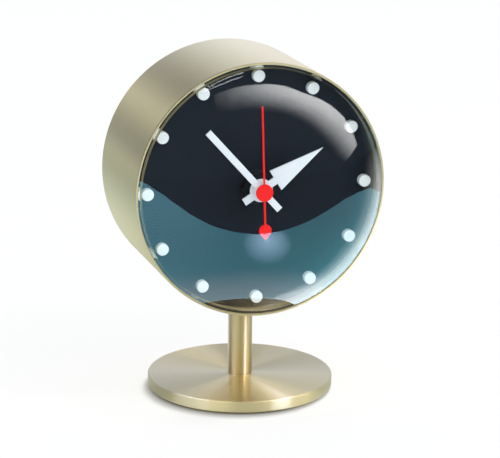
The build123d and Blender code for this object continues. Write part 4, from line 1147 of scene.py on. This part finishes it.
at_base = add_node(
    tree, "ShaderNodeMapRange",
    {
        "interpolation_type": "SMOOTHSTEP", "From Min": NEAR_BASE, "From Max": OFF_BASE, "To Min": 1.0,
        "To Max": 0.0,
    },
    {"Value": from_base.outputs["Value"]},
)
cold = add_node(
    tree, "ShaderNodeMix", {"data_type": "RGBA", 7: NEAR_BASE_COLOUR},
    {0: at_base.outputs["Result"], 6: spotted.outputs[2]},
)
add_sheet_light(tree, PLAIN_LIGHT, 1.0, {"Color": cold.outputs[2]})
set_mirrored(cold_sheet, cold_light, lens_only)

fan_points = [FAN_AT + towards(turn, 0) * reach for turn, level in FAN_LEVELS for reach, share in FAN_REACH]
white_sheet = mesh_piece("white_table_light", fan_points, grid_faces(len(FAN_LEVELS) - 1, len(FAN_REACH) - 1))
store(white_sheet, "strength", [level * share for turn, level in FAN_LEVELS for reach, share in FAN_REACH])
white_light, tree = new_material("white_mirrored_light")
near = add_node(tree, "ShaderNodeAttribute", {"attribute_name": "strength"})
add_sheet_light(tree, PLAIN_LIGHT, 1.0, {"Strength": near.outputs["Fac"]})
set_mirrored(white_sheet, white_light, lens_only)

# Softbox: one long strip light of white fabric over the right shoulder, brightest along its upper edge.
# It draws the grey arc across the lens, and lights the whole clock from the front.
LIGHT_DISTANCE = 1.1
LIGHT_POWER = 6.6
STRIP_ROWS = 8
# The strip's edges as azimuth and elevation in degrees, and how bright it is along them.
STRIP_UPPER = (
    (-26, 54), (-14, 57), (3, 59), (20, 58), (35, 55), (47, 50), (55, 43), (64, 36), (71, 28), (76, 20),
    (78, 13), (79, 6),
)
STRIP_LOWER = (
    (-22, 42), (-12, 41), (-1, 43), (10, 42), (20, 40), (29, 37), (38, 32), (45, 26), (51, 18), (55, 12),
    (60, 5), (65, 1),
)
STRIP_LEVELS = (0.04, 0.14, 0.35, 0.58, 0.82, 0.96, 1.0, 1.0, 0.95, 0.8, 0.65, 0.5)
strip_points, strip_glow = [], []
for upper, lower, level in zip(STRIP_UPPER, STRIP_LOWER, STRIP_LEVELS):
    for row in range(STRIP_ROWS + 1):
        share = row / STRIP_ROWS
        way = towards(*lower) * (1 - share) + towards(*upper) * share
        strip_points.append(AXIS + way.normalized() * LIGHT_DISTANCE)
        strip_glow.append(LIGHT_POWER * level * share * share * (3 - 2 * share))
strip = mesh_piece("softbox", strip_points, grid_faces(len(STRIP_LEVELS) - 1, STRIP_ROWS))
store(strip, "glow", strip_glow)
soft_light, tree = new_material("softbox_fabric")
level = add_node(tree, "ShaderNodeAttribute", {"attribute_name": "glow"})
fabric = add_node(tree, "ShaderNodeEmission", None, {"Strength": level.outputs["Fac"]})
add_node(tree, "ShaderNodeOutputMaterial", None, {"Surface": fabric.outputs["Emission"]})
strip.data.materials.append(soft_light)
strip.visible_camera = False

# Tubes: two thin lamps above the softbox, close together.
# They draw the pair of hair lines that the lens shows over the softbox, at the upper left.
TUBE_WIDTH = 0.7
TUBE_COLOUR, TUBE_POWER = (0.95, 1.0, 1.0), 8.0
# Each line is azimuth and elevation in degrees, and the tubes' width is in degrees too.
for name, line in (
    ("upper", [(-36.6, 55.8), (-28.3, 59.8), (-17.1, 63.5), (-3.5, 66.0), (11.6, 66.8)]),
    ("lower", [(-36.0, 54.5), (-27.7, 57.8), (-17.0, 60.8), (-4.6, 63.3), (9.1, 64.3)]),
):
    tube_points = [AXIS + towards(a, e + up) * LIGHT_DISTANCE for a, e in line for up in (0.0, TUBE_WIDTH)]
    tube = mesh_piece(name + "_tube", tube_points, grid_faces(len(line) - 1, 1))
    tube_light, tree = new_material(name + "_tube_light")
    add_sheet_light(tree, TUBE_COLOUR, TUBE_POWER, None)
    set_mirrored(tube, tube_light, lens_only)

# Shadow lamp: a far lamp high at the back right. Only the table takes it in, and only the foot, base and
# stem stand in its way, so it leaves the narrow shadow along the base's front and left edge.
SHADOW_POWER = 5.7
SHADOW_SPREAD = radians(24)
SHADOW_FROM = (140, 46)
sun = bpy.data.lights.new("shadow_lamp", "SUN")
sun.energy = SHADOW_POWER
sun.angle = SHADOW_SPREAD
shadow_lamp = bpy.data.objects.new("shadow_lamp", sun)
bpy.context.scene.collection.objects.link(shadow_lamp)
shadow_lamp.rotation_mode = "QUATERNION"
shadow_lamp.rotation_quaternion = towards(*SHADOW_FROM).to_track_quat("Z", "Y")
shadow_lamp.light_linking.receiver_collection = group_of("table_only", table)
shadow_lamp.light_linking.blocker_collection = group_of("foot_only", base, stem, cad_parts["base_foot"])

# Room: plain soft light all round, which the camera sees as white.
# Metal and lens mirror a dark room in front, and screens of several cool greys behind.
FILL_COLOUR, FILL = (0.94, 0.98, 1.0, 1.0), 1.12
DARK_ROOM = (0.02, 0.025, 0.035, 1.0)
BEHIND_FROM, BEHIND_FULL = -0.1, 0.35
ROOM_SCREENS = [
    (0.0, (0.72, 0.82, 0.98)), (0.25, (0.82, 0.95, 1.26)), (0.48, (0.66, 0.82, 1.25)),
    (0.64, (0.36, 0.42, 0.60)), (0.78, (0.82, 0.98, 1.26)), (0.90, (0.34, 0.42, 0.58)),
    (1.0, (0.48, 0.58, 0.78)),
]
world = bpy.data.worlds.new("studio_room")
bpy.context.scene.world = world
world.use_nodes = True
world.cycles.sampling_method = "NONE"
tree = world.node_tree
tree.nodes.clear()
seen, mirrored = add_paths(tree)
way = add_node(tree, "ShaderNodeTexCoord")
parts = add_node(tree, "ShaderNodeSeparateXYZ", None, {"Vector": way.outputs["Generated"]})
behind = add_node(
    tree, "ShaderNodeMapRange",
    {"interpolation_type": "SMOOTHSTEP", "From Min": BEHIND_FROM, "From Max": BEHIND_FULL},
    {"Value": parts.outputs["Y"]},
)
leftwards = add_swing(tree, way.outputs["Generated"])
screens = add_node(tree, "ShaderNodeValToRGB", None, {"Fac": leftwards}, ROOM_SCREENS)
room = add_node(
    tree, "ShaderNodeMix", {"data_type": "RGBA", 6: DARK_ROOM},
    {0: behind.outputs["Result"], 7: screens.outputs["Color"]},
)
fill = add_node(tree, "ShaderNodeBackground", {"Color": FILL_COLOUR, "Strength": FILL})
mirrored_room = add_node(tree, "ShaderNodeBackground", {"Strength": 1.0}, {"Color": room.outputs[2]})
white_room = add_node(tree, "ShaderNodeBackground", {"Color": linear("#FFFFFF"), "Strength": 1.0})
for_metal = add_node(
    tree, "ShaderNodeMixShader", None,
    {0: mirrored, 1: fill.outputs["Background"], 2: mirrored_room.outputs["Background"]},
)
for_all = add_node(
    tree, "ShaderNodeMixShader", None,
    {0: seen, 1: for_metal.outputs["Shader"], 2: white_room.outputs["Background"]},
)
add_node(tree, "ShaderNodeOutputWorld", None, {"Surface": for_all.outputs["Shader"]})

# Camera: a long lens, to the left of the clock and a little above it, as in the photograph.
# It looks a little down with a very slight roll, and everything is in focus.
AZIMUTH, ELEVATION = -17.679, 15.092
DISTANCE = 0.983738
ASIDE = 3.936 * MM
AIM_HEIGHT = 71.206 * MM
ROLL = radians(0.596)
FOCAL_PIXELS = 2254.3
FRAME_WIDTH = 500
SENSOR = 36.0
back = towards(AZIMUTH, ELEVATION)
right = towards(AZIMUTH + 90, 0)
lens_data = bpy.data.cameras.new("view")
lens_data.sensor_width = SENSOR
lens_data.lens = FOCAL_PIXELS * SENSOR / FRAME_WIDTH
camera = bpy.data.objects.new("view", lens_data)
bpy.context.scene.collection.objects.link(camera)
camera.location = right * ASIDE + Vector((0, 0, AIM_HEIGHT)) + back * DISTANCE
camera.rotation_mode = "QUATERNION"
camera.rotation_quaternion = (-back).to_track_quat("-Z", "Y") @ Matrix.Rotation(ROLL, 3, "Z").to_quaternion()
bpy.context.scene.camera = camera
bpy.context.scene.view_settings.view_transform = "Standard"
